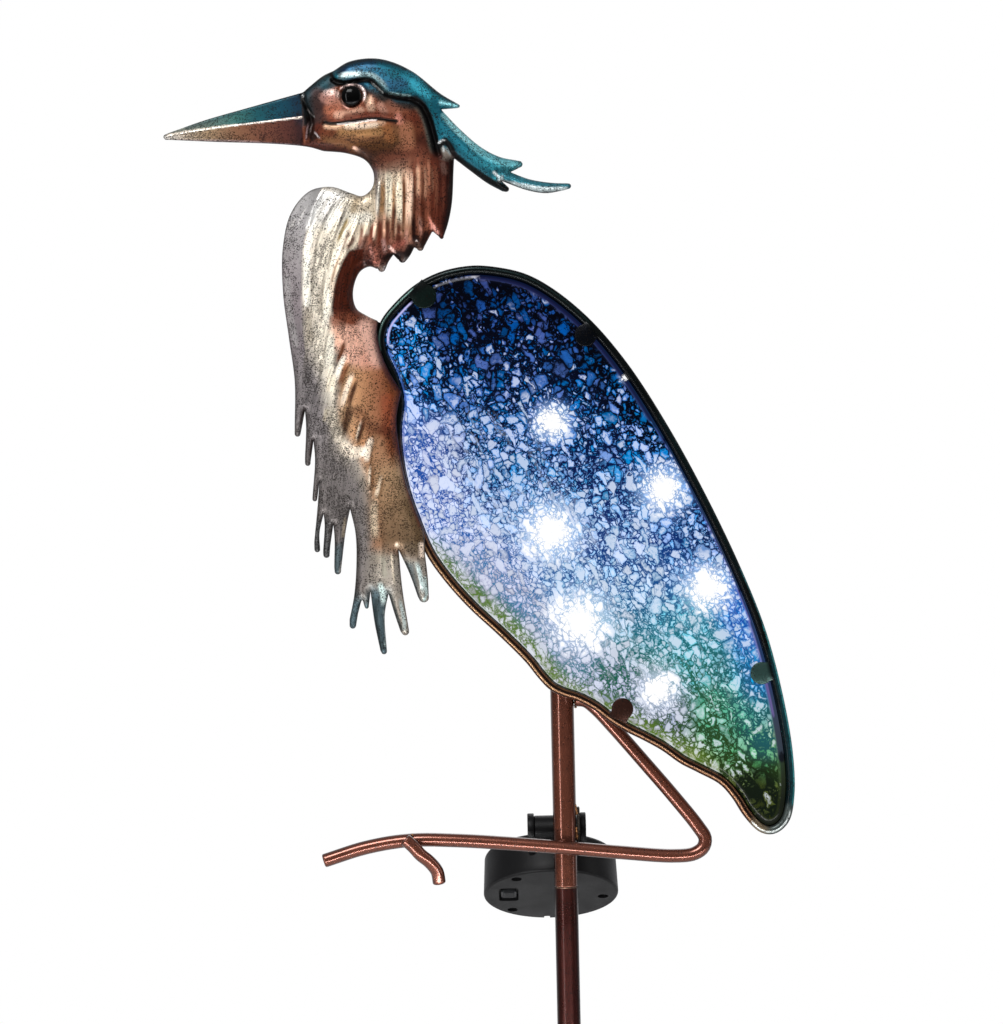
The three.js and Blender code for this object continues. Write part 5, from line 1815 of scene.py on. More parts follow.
@dataclass
class HeronPlate:
    """The stamped sheet of head, neck, breast and fringe."""

    thickness: float = 1.4
    roll_width: float = 6.5
    roll_height: float = 3.6
    beak_tip: tuple[float, float] = (-212.0, 1.5)
    beak_base: tuple[float, float] = (-134.0, 7.5)
    neck_lean: float = 0.07
    eye_seat: tuple[float, float] = (-108.8, 739.8)
    ground: str = "#9c9388"
    spatter: float = 0.42
    rear: str = "#3b302b"
    rear_spatter: float = 0.3
    leans: Path = (
        (430, 0.0), (500, 0.08), (540, 0.26), (600, 0.34), (635, 0.18), (655, 0.36), (680, 0.62), (700, 0.8),
    )
    swells: Sequence[Sequence[float]] = (
        (-100, 733, 38, 30, 4.4),
        (-119, 722, 20, 13, 1.5),
        (-119, 739, 9, 7, 1.1),
        (-97, 733, 10, 8, 0.9),
        (-105, 720, 24, 7, 1.0),
        (-82, 728, 4, 5, 0.6),
        (-76, 690, 30, 44, 2.6),
        (-121, 640, 30, 60, 3.6),
        (-104, 575, 30, 70, 3.4),
        (-94, 520, 22, 50, 1.8),
    )

    def relief(self, x: np.ndarray, z: np.ndarray, edge: np.ndarray) -> np.ndarray:
        """Measure how far the front stands proud of the plate's base plane.

        Args:
            x: The points' x.
            z: The points' z.
            edge: The points' distance to the outline.

        Returns:
            The heights.
        """
        roll = self.roll_height * np.sqrt(1 - (1 - np.clip(edge / self.roll_width, 0, 1)) ** 2)
        form = sum(swell(x, z, spot) for spot in self.swells)
        form = form + sum(strand.rise(x, z) for strand in STRANDS)
        crest = inside(np.array(CAP, float), x, z)
        lip = 1 - np.abs(np.clip(crest - 1.6, -1.6, 1.6)) / 1.6
        form = form + 1.5 * smooth(crest, -1.5, 0.6) + 0.5 * lip
        form = form + groove(x, z, CREST_GROOVE, 1.6, 1.9)
        form = form + groove(x, z, MOUTH, 1.2, 1.7)
        form = form + groove(x, z, CHIN_GROOVE, 1.4, 2)
        eye = np.hypot(x - self.eye_seat[0], z - self.eye_seat[1])
        form = form + 0.9 * np.exp(-(((eye - 7.4) / 1.3) ** 2)) - 0.8 * (1 - smooth(eye, 5.6, 6.6))
        body = roll + smooth(edge, 0, 4) * form
        body = self.with_facet(body, x, z, edge)
        along = np.clip((x - self.beak_tip[0]) / (self.beak_base[0] - self.beak_tip[0]), 0, 1)
        line = np.interp(x, [p[0] for p in BEAK_RIDGE], [p[1] for p in BEAK_RIDGE])
        wide = np.where(z > line, 1.6 + 12.4 * along, 2.4 + 13.4 * along)
        facet = np.clip(1 - np.abs(z - line) / wide, 0, 1)
        beak = facet * (self.beak_tip[1] + (self.beak_base[1] - self.beak_tip[1]) * along)
        on_beak = 1 - smooth(x + 0.25 * np.abs(z - 728), self.beak_base[0] - 1.5, self.beak_base[0] + 2.5)
        return body * (1 - on_beak) + beak * on_beak

    @staticmethod
    def with_facet(body: np.ndarray, x: np.ndarray, z: np.ndarray, edge: np.ndarray) -> np.ndarray:
        """Flatten the collar's left side into one sloping facet.

        Args:
            body: The heights so far.
            x: The points' x.
            z: The points' z.
            edge: The points' distance to the outline.

        Returns:
            The new heights.
        """
        line = spline(COLLAR_RIDGE, 8)
        distance, side, along = nearest(line, x, z)
        left = (side < 0) & (z > 588) & (z < 690) & (x < -124)
        slope = 0.6 + 4.4 * np.clip(edge / np.maximum(edge + distance, 0.1), 0, 1)
        mix = np.where(left, smooth(distance, 0.0, 1.0) * (1 - smooth(along, 0.8, 1.0)), 0.0)
        return body * (1 - mix) + slope * mix

    def build(self) -> bpy.types.Object:
        """Build the sheet and lay its paint.

        Returns:
            The new object.
        """
        outline = joined(part.points() for part in HERON_OUTLINE)
        weave = Weave(1.0, (0.3, 0.8, 1.5, 2.4), ((430, 700, 0.72), (700, 765, 0.62)),
                      (np.array(BEAK_RIDGE, float), spline(COLLAR_RIDGE, 8)))
        heights: dict[int, np.ndarray] = {}

        def front(x: np.ndarray, z: np.ndarray, edge: np.ndarray) -> np.ndarray:
            """Give the front's depth, and keep it for the back."""
            heights[0] = PLATE_BASE - self.relief(*as_seen(x, PLATE_BASE - 6, z), edge)
            return heights[0]

        draft = sheet_between(outline, weave, front, lambda x, z, edge: heights[0] + self.thickness)
        piece = draft.mesh("heron_sheet", 70)
        self.paint(piece)
        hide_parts("heron_plate")
        return piece

    def paint(self, piece: bpy.types.Object) -> None:
        """Lay the airbrushed colours with their painted highlights and painted shade, with the spatter's
        density as their alpha.

        Args:
            piece: The sheet.
        """
        points = points_of(piece)
        half = len(points) // 2
        x, y, z = points[:half].astype(float).T
        x, z = as_seen(x, y, z)
        colours = np.tile(linear(self.ground), (half, 1))
        colours = lay(colours, HERON_COATS, x, z)
        outline = joined(part.points() for part in HERON_OUTLINE)
        edge = np.maximum(inside(evenly(outline, 1.0, True), x, z), 0)
        # Painted shade: the front darkens within about a millimetre of its outline.
        shade = 0.42 + 0.58 * smooth(edge, 0.0, 0.9)
        colours = colours * shade[:, None]
        density = np.full(half, self.spatter)
        for x0, z0, x1, z1, radius, soft, strength in SPATTER:
            distance = nearest(np.array([(x0, z0), (x1, z1)], float), x, z)[0]
            density = np.maximum(density, strength * (1 - smooth(distance, radius, radius + soft)))
        front = np.column_stack([colours, density])
        back = np.column_stack([np.tile(linear(self.rear), (half, 1)), np.full(half, self.rear_spatter)])
        colours_on(piece, "paint", np.vstack([front, back]))
        flow = np.column_stack([self.flow(x, z), np.ones(half)])
        colours_on(piece, "flow", np.vstack([flow, flow]))

    def flow(self, x: np.ndarray, z: np.ndarray) -> np.ndarray:
        """Find how the feathers run at each point.

        Args:
            x: The points' x.
            z: The points' z.

        Returns:
            Rows of millimetres across and along the feathers, and the strength of their hairs.
        """
        heights = np.arange(430.0, 701.0, 5.0)
        lean = np.interp(heights, [p[0] for p in self.leans], [p[1] for p in self.leans])
        shift = np.interp(z, heights, np.cumsum(lean) * 5.0)
        level = float(np.interp(668.0, heights, np.cumsum(lean) * 5.0))
        neck = smooth(x, -112.0, -98.0) * smooth(z, 650.0, 668.0)
        across = x - shift * (1 - neck) - (level + self.neck_lean * (z - 668.0)) * neck
        strength = (1 - smooth(z, 698.0, 708.0)) * (1 - 0.5 * smooth(-z, -520.0, -490.0))
        facet = inside(np.array(FACET, float), x, z)
        bare_or_highlight = smooth(x, -116.0, -106.0) * smooth(-z, -624.0, -606.0)
        fading = (1 - 0.75 * smooth(facet, -1.0, 1.0)) * (1 - 0.6 * bare_or_highlight)
        return np.column_stack([across, z, strength * fading])


@dataclass
class EyeBead:
    """The glossy black eye in its seat."""

    centre: tuple[float, float] = (-108.6, 738.7)
    radius: float = 5.5
    front: float = PLATE_BASE - 11.5
    back: float = PLATE_BASE - 4.0
    dome: float = 2.6

    def build(self) -> bpy.types.Object:
        """Build the bead as a turned dome.

        Returns:
            The new object.
        """
        shoulder = self.back - self.front - self.dome
        profile = [(0.0, 0.0), (self.radius - 0.3, 0.0), (self.radius, 0.3), (self.radius, shoulder)]
        for turn in np.linspace(0, math.pi / 2, 10)[1:-1]:
            profile.append((self.radius * math.cos(turn), shoulder + self.dome * math.sin(turn)))
        profile.append((0.0, shoulder + self.dome))
        place = facing(self.centre[0], self.back, self.centre[1])
        piece = Draft().lathe(profile, 48).moved(place).mesh("eye_dome")
        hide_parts("eye_bead")
        return piece


TABS = (
    # Middle of the round end, middle of the root at the rim, and radius
    ((-71.5, 629), (-76.6, 633.9), 6.9),
    ((17, 605.5), (21.2, 609.2), 6.2),
    ((109.8, 417.4), (115.4, 418.6), 6.2),
    ((32.8, 399.4), (30, 393.4), 6.0),
)
TAB_COLOURS = ("#0b1714", "#04060c", "#2f4642", "#2e1a14")

STRAP = ((-112, 621), (-108, 621.5), (-97.5, 615.6), (-93.6, 613.8), (-95, 604), (-112, 604))
TRAY_COATS = coats("""
    #0a1c1e 2 8 .5  60,557 80,519 100,475;
    #12343a 3 8 .9  119,425 124,395 127,370 127,350;
    #4a5250 4 6 .8  124,338 118,330 112.5,328.4 106,330;
    #7c6a52 4 6 .8  104,332 98,340;
    #351c13 7 6 1  96,344 84,357 64,368 44,382 25,393 8,404 -7,411;
    #3a2014 7 6 1  -7,411 -20,426 -50,456 -66,476 -76,494;
    #33211a 4 6 .8  -80,505 -86,524 -89,545;
""")
# Painted highlights: the rows in #1c3232, #7fa49c, #c4cac8, #c09068, #d0a67a and #8a6040 are highlight lines
# along the rolled bead.
RIM_LINES = (
    # Colour, start and end clockwise, depth inside the tray's edge, half width and strength
    ("#2d7076", (100, 474), (112, 443), 0.4, 0.1, 0.7),
    ("#3a8a8e", (112, 443), (125, 345), 0.5, 0.3, 0.85),
    ("#040607", (20, 614), (122, 400), 3.6, 0.9, 0.9),
    ("#05090a", (122, 400), (124, 345), 3.6, 0.7, 0.8),
    ("#1c3232", (-60, 642), (20, 614), 1.6, 0.0, 0.5),
    ("#7fa49c", (-97, 600), (-76, 635), 1.5, 0.0, 0.6),
    ("#c4cac8", (124, 340), (102, 334), 1.4, 0.1, 0.9),
    ("#c09068", (100, 337), (-7, 410), 1.5, 0.0, 0.6),
    ("#d0a67a", (-7, 410), (-86, 521), 1.5, 0.0, 0.65),
    ("#120907", (100, 337), (-86, 521), 2.7, 0.5, 0.9),
    ("#8a6040", (100, 337), (-86, 521), 3.8, 0.0, 0.5),
)


@dataclass
class WingTray:
    """The pressed tray with its rolled rim, its tabs and the strap behind the neck."""

    bead: float = 4.6
    bead_round: float = 2.1
    ledge: float = 4.0
    ledge_drop: float = 5.4
    wall: float = 1.2
    tab_back: float = TRAY_FRONT + 0.8
    ground: str = "#060b0b"

    @staticmethod
    def outline() -> np.ndarray:
        """Give the tray's outline at a steady spacing."""
        return evenly(spline(TRAY_OUTLINE, 12, closed=True), 1.8, closed=True)

    def build(self) -> bpy.types.Object:
        """Build the tray and paint its zones.

        Returns:
            The new object.
        """
        rows = [(0.8, TRAY_BACK), (0.25, TRAY_BACK - 0.2), (0.0, TRAY_BACK - 0.9)]
        rows += [(0.0, TRAY_FRONT + 3.5), (0.0, TRAY_FRONT + self.bead_round)]
        for turn in np.linspace(0, math.pi, 15)[1:]:
            height = self.bead_round * (1 - math.sin(turn))
            rows.append((self.bead / 2 * (1 - math.cos(turn)), TRAY_FRONT + height))
        floor = TRAY_FRONT + self.ledge_drop
        rows += [(self.bead, floor - 0.6), (self.bead + 0.5, floor), (self.bead + self.ledge, floor)]
        rows += [(self.bead + self.ledge, floor + 1), (self.wall, floor + 1), (self.wall, TRAY_BACK - 1)]
        draft = Draft().rings(self.outline(), rows)
        for centre, root, radius in TABS:
            shape = self.tab_outline(centre, root, radius)
            front = self.tab_back - 1.0
            draft.rings(shape, [(0, self.tab_back), (0, front + 0.45), (0.14, front + 0.13), (0.45, front)])
        draft.slab(np.array(STRAP, float), TRAY_FRONT + 2, TRAY_FRONT + 3.4)
        piece = draft.mesh("wing_rim", 50)
        self.paint(piece)
        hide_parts("wing_tray")
        return piece

    @staticmethod
    def tab_outline(centre: Sequence[float], root: Sequence[float], radius: float) -> np.ndarray:
        """Draw one tab: a round end that reaches from the rim over the glass.

        Args:
            centre: The middle of its round end.
            root: The middle of its root on the rim.
            radius: Radius of its round end.

        Returns:
            The outline, clockwise.
        """
        back = math.atan2(root[1] - centre[1], root[0] - centre[0])
        turns = back + math.pi / 3 + 4 * math.pi / 3 * np.arange(31) / 30
        end = np.array(centre) + radius * np.column_stack([np.cos(turns), np.sin(turns)])
        sideways = np.array([-math.sin(back), math.cos(back)]) * radius * math.sin(math.pi / 3)
        neck = np.array([root - sideways, root + sideways])
        return np.vstack([end, neck])[::-1]

    def paint(self, piece: bpy.types.Object) -> None:
        """Lay the rim's colours, its painted highlight lines and the painted shade on its inner ledge.

        Args:
            piece: The tray.
        """
        points = points_of(piece)
        x, z = points[:, [0, 2]].astype(float).T
        colours = lay(np.tile(linear(self.ground), (len(points), 1)), TRAY_COATS, x, z)
        edge = inside(self.outline(), x, z)
        front = 1 - smooth(points[:, 1], TRAY_FRONT + 0.8, TRAY_FRONT + 2.6)
        rim = lined(colours, self.outline(), RIM_LINES, x, z)[0]
        colours = colours + (rim - colours) * front[:, None]
        # Painted shade: the ledge inside the bead, down in the gap before the glass, is darkened.
        recess_shade = smooth(edge, 4.2, 4.8)[:, None]
        colours = colours * (1 - 0.9 * recess_shade)
        for (centre, _, radius), colour in zip(TABS, TAB_COLOURS):
            reach = np.hypot(x - centre[0], z - centre[1])
            on_tab = (points[:, 1] < TRAY_FRONT + 0.9) & (edge > 4.7)
            cover = (1 - smooth(reach, radius + 1.0, radius + 1.8)) * on_tab
            colours = over(colours, linear(colour), cover)
        density = np.where(points[:, 2] < 500, 0.5, 0.2)
        colours_on(piece, "paint", np.column_stack([colours, density]))


NET_COATS = coats("""
    wash 0,650 0,330 1 1 | 0 #010206 .125 #02040e .22 #030a1e .31 #050f2e .41 #081c54 .5 #0e3478 .58 #17508c
        .66 #1f6a78 .72 #20604e .8 #274c2a .88 #263c16 .95 #10160a | -110,660 140,660 140,320 -110,320;
    #2458b0 8 26 .8  -80,545 -66,500 -50,475;
    #3066a8 8 24 .6  -50,486 -34,476 -20,470;
    #4f88a8 8 18 .6  -50,474 -24,450 0,430;
    #5a7622 3 12 .95  -72,488 -56,470 -40,455 -18,432 -2,412 16,400 44,385 70,368;
    #040d30 6 24 .7  62,548 84,500 92,480;
    #174ab0 5 16 .8  98,456 112,416;
    #196070 5 16 .6  96,420 112,384;
    #010206 7 22 .95  -40,640 0,628 30,596 56,556;
    #10180a 8 12 .9  104,352 112,338;
""")
FLAKE_COATS = coats("""
    wash 0,650 0,330 1 1 | 0 #1c3678 .125 #2a509e .22 #3564b4 .31 #457cca .41 #74a4e2 .5 #a0c0f0 .58 #a8c8ec
        .66 #9cc0d8 .72 #94b4b4 .8 #8aa898 .88 #7e965e .95 #465222 | -110,660 140,660 140,320 -110,320;
    #4a90ea 8 14 .8  -86,606 -80,585 -78,560;
    #c8d0f6 10 26 .85  -76,540 -62,495 -40,470;
    #3f80d8 12 24 .5  60,540 92,470;
    #58b8d2 12 20 .6  70,440 96,404;
    #4a90ea 5 16 .7  98,456 112,416;
    #62b48c 8 14 .75  84,396 104,372;
    #a6a8ca 10 20 .8  -50,474 -34,462 -10,436 24,412 50,396;
    #a0a67c 3 8 .6  -72,488 -56,470 -40,455 -18,432 -2,412 16,400 44,385 70,368 92,350;
    #465020 6 12 .8  100,356 110,340;
""")
SHARES = (
    # Share of pale flakes in the network at each height
    (650, 0.2), (630, 0.27), (610, 0.34), (590, 0.39), (570, 0.44), (550, 0.5), (520, 0.6), (500, 0.68),
    (480, 0.74), (440, 0.76), (410, 0.76), (385, 0.7), (360, 0.54), (335, 0.26),
)
SHARE_SPOTS = (
    # x, z, reach and how many more flakes lie there
    (-84, 600, 34, 0.3), (-70, 525, 80, 0.34), (-30, 505, 60, 0.16), (24, 606, 50, -0.1),
    (-40, 570, 50, 0.12), (-64, 480, 14, -0.2), (-48, 464, 15, -0.22), (-30, 446, 16, -0.2),
    (-12, 426, 16, -0.2), (14, 402, 15, -0.15), (44, 387, 14, -0.15), (74, 500, 40, -0.12),
)
LAMPS = (
    # x, z and the width of the light around each lamp
    (-2.5, 558, 9.5), (58, 520, 12), (-4.5, 498, 14.5), (81, 465, 12), (10.5, 448, 15), (53, 409.5, 10),
    (38.5, 582, 3),
)
# Painted light along the pane's edge: the pale rows (#c3bdec, #f2f0fc, #8a84d8, #7565a4, #cfd6da, #e6e9f8)
# are highlights and reflections on the polished edge, and the dark rows at the top and right stand for the
# tray's dark wall seen through that edge.
EDGE_LINES = (
    # Colour, start and end clockwise, depth inside the pane's edge, half width and strength
    ("#05060e", (-45, 640), (60, 548), 0.9, 0.9, 0.9),
    ("#050720", (60, 548), (96, 462), 0.6, 0.6, 0.9),
    ("#12143c", (96, 462), (112, 420), 0.9, 0.8, 0.9),
    ("#241d40", (112, 420), (121, 370), 1.5, 1.7, 0.9),
    ("#0e0f12", (119, 372), (104, 338), 1.4, 1.4, 0.9),
    ("#c3bdec", (-94, 603), (-79, 627), 1.2, 0.3, 0.9),
    ("#f2f0fc", (-66, 637), (-42, 641), 1.2, 0.05, 0.9),
    ("#15163a", (-42, 641), (52, 560), 1.8, 0.6, 0.85),
    ("#5a5674", (-42, 641), (52, 560), 3.0, 0.0, 0.45),
    ("#4a4f98", (56, 555), (92, 472), 1.5, 0.0, 0.5),
    ("#8a84d8", (80, 505), (104, 446), 1.8, 0.1, 0.6),
    ("#7565a4", (104, 446), (118, 395), 2.4, 0.4, 0.75),
    ("#cfd6da", (84, 360), (-10, 424), 0.5, 0.0, 0.7),
    ("#e6e9f8", (-10, 424), (-86, 540), 0.5, 0.05, 0.8),
    ("#4a52a0", (-86, 540), (-96, 598), 0.6, 0.2, 0.7),
)


@dataclass
class WingGlass:
    """The crackle-glass pane, with the colours that lie on its back."""

    start: float = 5.1
    edge: float = 4.2
    roundness: float = 2.2
    front: float = TRAY_FRONT + 1.1
    thickness: float = 4.0

    def build(self) -> bpy.types.Object:
        """Build the pane and lay its colours.

        Returns:
            The new object.
        """
        outline = inset(WingTray.outline(), self.start)
        weave = Weave(1.5, (0.4, 0.9, 1.5, 2.2, 3.0, 4.2), ((300, 660, 2.5),))

        def front(x: np.ndarray, z: np.ndarray, edge: np.ndarray) -> np.ndarray:
            """Round the front's edge and leave the rest a little uneven."""
            fall = 1 - np.sqrt(1 - (1 - np.clip(edge / self.edge, 0, 1)) ** 2)
            wave = 0.08 * np.sin(0.35 * x + 0.11 * z) * np.sin(0.27 * z - 0.09 * x) * smooth(edge, 3, 8)
            return self.front + self.roundness * fall + wave * (wave > 0)

        back = self.front + self.thickness
        draft = sheet_between(outline, weave, front, lambda x, z, edge: np.full(len(x), back))
        piece = draft.mesh("wing_pane", 60)
        self.colour(piece, outline)
        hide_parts("wing_glass")
        return piece

    @staticmethod
    def colour(piece: bpy.types.Object, outline: np.ndarray) -> None:
        """Lay the network's, the flakes' and the glow's colours, with painted highlights, reflections and
        dark bands along the pane's edge.

        Args:
            piece: The pane.
            outline: The pane's outline.
        """
        points = points_of(piece)
        x, z = points[:, [0, 2]].astype(float).T
        blank = np.zeros((len(x), 3))
        edge = inside(outline, x, z)
        net = lay(blank, NET_COATS, x, z)
        flakes = lay(blank, FLAKE_COATS, x, z)
        heights = [row[0] for row in SHARES][::-1]
        share = np.interp(z - 0.25 * x, heights, [row[1] for row in SHARES][::-1])
        for sx, sz, reach, more in SHARE_SPOTS:
            share = share + more * (1 - smooth(np.hypot(x - sx, z - sz), 0.2 * reach, reach))
        share = share - 0.1 * smooth(x + 0.45 * z, 235, 300) * smooth(z, 400, 440)
        glow = np.zeros(len(x))
        for lx, lz, wide in LAMPS:
            reach = np.hypot(x - lx, z - lz) / wide
            glow = np.maximum(glow, 1.05 * np.exp(-(reach**2)) + 0.25 * np.exp(-((reach / 2.2) ** 2)))
        flakes, strip = lined(flakes, outline, EDGE_LINES, x, z)
        colours_on(piece, "network", np.column_stack([net, 1 - smooth(strip, 0.4, 0.9)]))
        colours_on(piece, "flakes", np.column_stack([flakes, np.clip(share, 0, 1)]))
        colours_on(piece, "glow", np.column_stack([glow, glow, glow, np.ones(len(x))]))


def lined(
    colours: np.ndarray, outline: np.ndarray, lines: Sequence[tuple], x: np.ndarray, z: np.ndarray
) -> tuple[np.ndarray, np.ndarray]:
    """Draw thin lines that run beside an outline.

    Args:
        colours: The colours so far, linear.
        outline: The outline.
        lines: Rows as in RIM_LINES.
        x: The points' x.
        z: The points' z.

    Returns:
        The new colours, and how much of each point the lines cover.
    """
    strip = np.zeros(len(x))
    for colour, start, end, depth, radius, strength in lines:
        line = between_spots(inset(outline, depth), start, end)
        cover = strength * (1 - smooth(nearest(line, x, z)[0], radius, radius + 0.55))
        strip = np.maximum(strip, cover)
        colours = over(colours, linear(colour), cover)
    return colours, strip


def between_spots(outline: np.ndarray, start: tuple[float, float], end: tuple[float, float]) -> np.ndarray:
    """Take the stretch of a clockwise outline from one spot to another."""
    first, last = (int(np.linalg.norm(outline - spot, axis=1).argmin()) for spot in (start, end))
    return outline[first : last + 1] if first < last else np.vstack([outline[first:], outline[: last + 1]])


@dataclass
class Lamps:
    """The lamps on the tray's back wall."""

    profile: Path = ((0, 0), (2.9, 0), (2.9, 0.6), (2.6, 2.6), (2.2, 4.0), (1.4, 5.1), (0.6, 5.5), (0, 5.6))

    def build(self) -> list[bpy.types.Object]:
        """Build one dome for each lamp.

        Returns:
            The new objects, in the lamps' order.
        """
        pieces = []
        for number, (x, z, _) in enumerate(LAMPS, 1):
            draft = Draft().lathe(self.profile, 24).moved(facing(x, TRAY_BACK - 1.3, z))
            piece = draft.mesh(f"lamp_dome_{number}")
            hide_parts(f"led_{number}")
            pieces.append(piece)
        return pieces


@dataclass
class Legs:
    """The straight leg, the bent leg with its foot, and the toe."""

    joint: float = 300.0
    top: float = 462.0
    rod: float = 3.8
    toe: float = 3.65
    foot: float = -(TUBE_R + 3.8 + GAP)
    copper: str = "#6e3d2d"
    dark: str = "#341410"
    joint_highlight: str = "#c9a48e"

    def bent_path(self) -> list[tuple[float, float, float]]:
        """Give the bent leg's points, from its weld round the knee to the foot's end."""
        y = self.foot
        thigh = [(7.4, 0, 404), (13, 0, 403.2), (19, 0, 398.4), (27.5, -0.6, 389), (44.4, -2.6, 369)]
        knee = [(61, -4.8, 349), (74, -7, 332.2), (77.5, -8.2, 326), (76.2, -9.2, 321), (71, -9.8, 317.7)]
        foot = [(30, y, 319.4), (0, y, 322.6), (-30, y, 325.5), (-60, y, 327.9), (-86, y, 328.6)]
        return [*thigh, *knee, (60, -10.2, 316.8), *foot, (-110, y, 325.2), (-134, y, 318.2)]

    def toe_path(self) -> list[tuple[float, float, float]]:
        """Give the toe's points, from its weld downwards."""
        y = self.foot - self.rod - self.toe - GAP
        return [(-88.6, y, 330), (-84, y, 325.6), (-80.2, y + 0.4, 321.2), (-75.4, y + 2, 317),
                (-71.4, y + 4, 311.5), (-70.2, y + 5.4, 304.6)]

    @staticmethod
    def rounded(path: np.ndarray, radius: float, edge: float) -> tuple[np.ndarray, np.ndarray]:
        """Round both ends of a bar.

        Args:
            path: The bar's centre line.
            radius: The bar's radius.
            edge: Radius of the rounded edge.

        Returns:
            The new centre line and the radius at each point of it.
        """
        turns = np.linspace(0, math.pi / 2, 6)
        start = path[1] - path[0]
        start /= np.linalg.norm(start)
        end = path[-1] - path[-2]
        end /= np.linalg.norm(end)
        head = [path[0] + start * edge * (1 - math.sin(t)) for t in turns]
        tail = [path[-1] - end * edge * (1 - math.sin(t)) for t in turns[::-1]]
        radii = [radius - edge * (1 - math.cos(t)) for t in turns]
        to_start, to_end = (np.linalg.norm(path - spot, axis=1) for spot in (path[0], path[-1]))
        middle = path[(to_start > edge * 1.2) & (to_end > edge * 1.2)]
        points = np.vstack([head[::-1], middle, tail[::-1]])
        return points, np.concatenate([radii[::-1], np.full(len(middle), radius), radii])

    def bar(
        self, name: str, node: str, path: np.ndarray, radius: float, edge: float, colour: str
    ) -> bpy.types.Object:
        """Build one bar and let it stand for its node.

        Args:
            name: The piece's name.
            node: The node that it replaces.
            path: Its centre line.
            radius: Its radius.
            edge: Radius of its rounded ends.
            colour: Its colour.

        Returns:
            The new object.
        """
        points, radii = self.rounded(path, radius, edge)
        piece = Draft().tube(points, radii, 40).mesh(name, 60)
        self.paint(piece, colour)
        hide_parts(node)
        return piece

    def paint(self, piece: bpy.types.Object, colour: str) -> None:
        """Lay a bar's colour, with a thin painted highlight where the leg's tubes meet.

        Args:
            piece: The bar.
            colour: Its colour.
        """
        points = points_of(piece)
        # Painted highlight: a thin pale ring where the tube meets the stake.
        bare_or_highlight = 1 - smooth(np.abs(points[:, 2] - self.joint), 0.2, 0.5)
        bare_or_highlight = bare_or_highlight * (np.abs(points[:, 0]) < TUBE_R + 1)
        colours = over(linear(colour), linear(self.joint_highlight), bare_or_highlight)
        colours_on(piece, "paint", np.column_stack([colours, np.ones(len(points))]))

    def build(self) -> list[bpy.types.Object]:
        """Build the four bars: stake, tube, bent leg and toe.

        Returns:
            The new objects.
        """
        reach = np.append(np.linspace(0, self.joint - 1.2, 40), [self.joint - GAP / 2])
        rise = np.append([self.joint + GAP / 2], np.linspace(self.joint + 1.2, self.top, 30))
        low, high = (np.outer(heights, (0.0, 0.0, 1.0)) for heights in (reach, rise))
        stake = self.bar("stake_bar", "stake", low, TUBE_R, 0.4, self.dark)
        tube = self.bar("leg_bar", "leg_tube", high, TUBE_R, 0.5, self.copper)
        bent = evenly(spline(self.bent_path(), 10), 1.6)
        leg = self.bar("bent_bar", "bent_leg", bent, self.rod, 0.9, self.copper)
        toe = evenly(spline(self.toe_path(), 10), 0.9)
        claw = self.bar("toe_bar", "toe", toe, self.toe, 1.0, self.copper)
        return [stake, tube, leg, claw]

    def welds(self) -> bpy.types.Object:
        """Build the small weld beads beside the straight leg.

        Returns:
            The new object.
        """
        rng = np.random.default_rng(7)
        draft = Draft()
        # Start, end and number of beads
        beads = [((6.0, -1.6, 345.6), (7.0, -0.6, 340.4), 12), ((6.4, -2.2, 332.4), (7.0, -1.4, 326.6), 8),
                 ((6.6, 0.6, 406.6), (7.4, 1.4, 399.8), 9),
                 ((-84.4, self.foot - 4.4, 332.0), (-88.6, self.foot - 4.4, 326.0), 6)]
        turns = np.linspace(-math.pi / 2, math.pi / 2, 7)
        for start, end, count in beads:
            for share in np.linspace(0, 1, count):
                centre = np.array(start) * (1 - share) + np.array(end) * share + rng.normal(0, 0.12, 3)
                size = rng.uniform(0.5, 0.85)
                ball = [(max(size * math.cos(turn), 0.0), size * math.sin(turn)) for turn in turns]
                bead = Draft().lathe(ball, 10)
                draft.add(np.vstack(bead.points) + centre, bead.faces)
        return draft.mesh("weld_beads", 80)


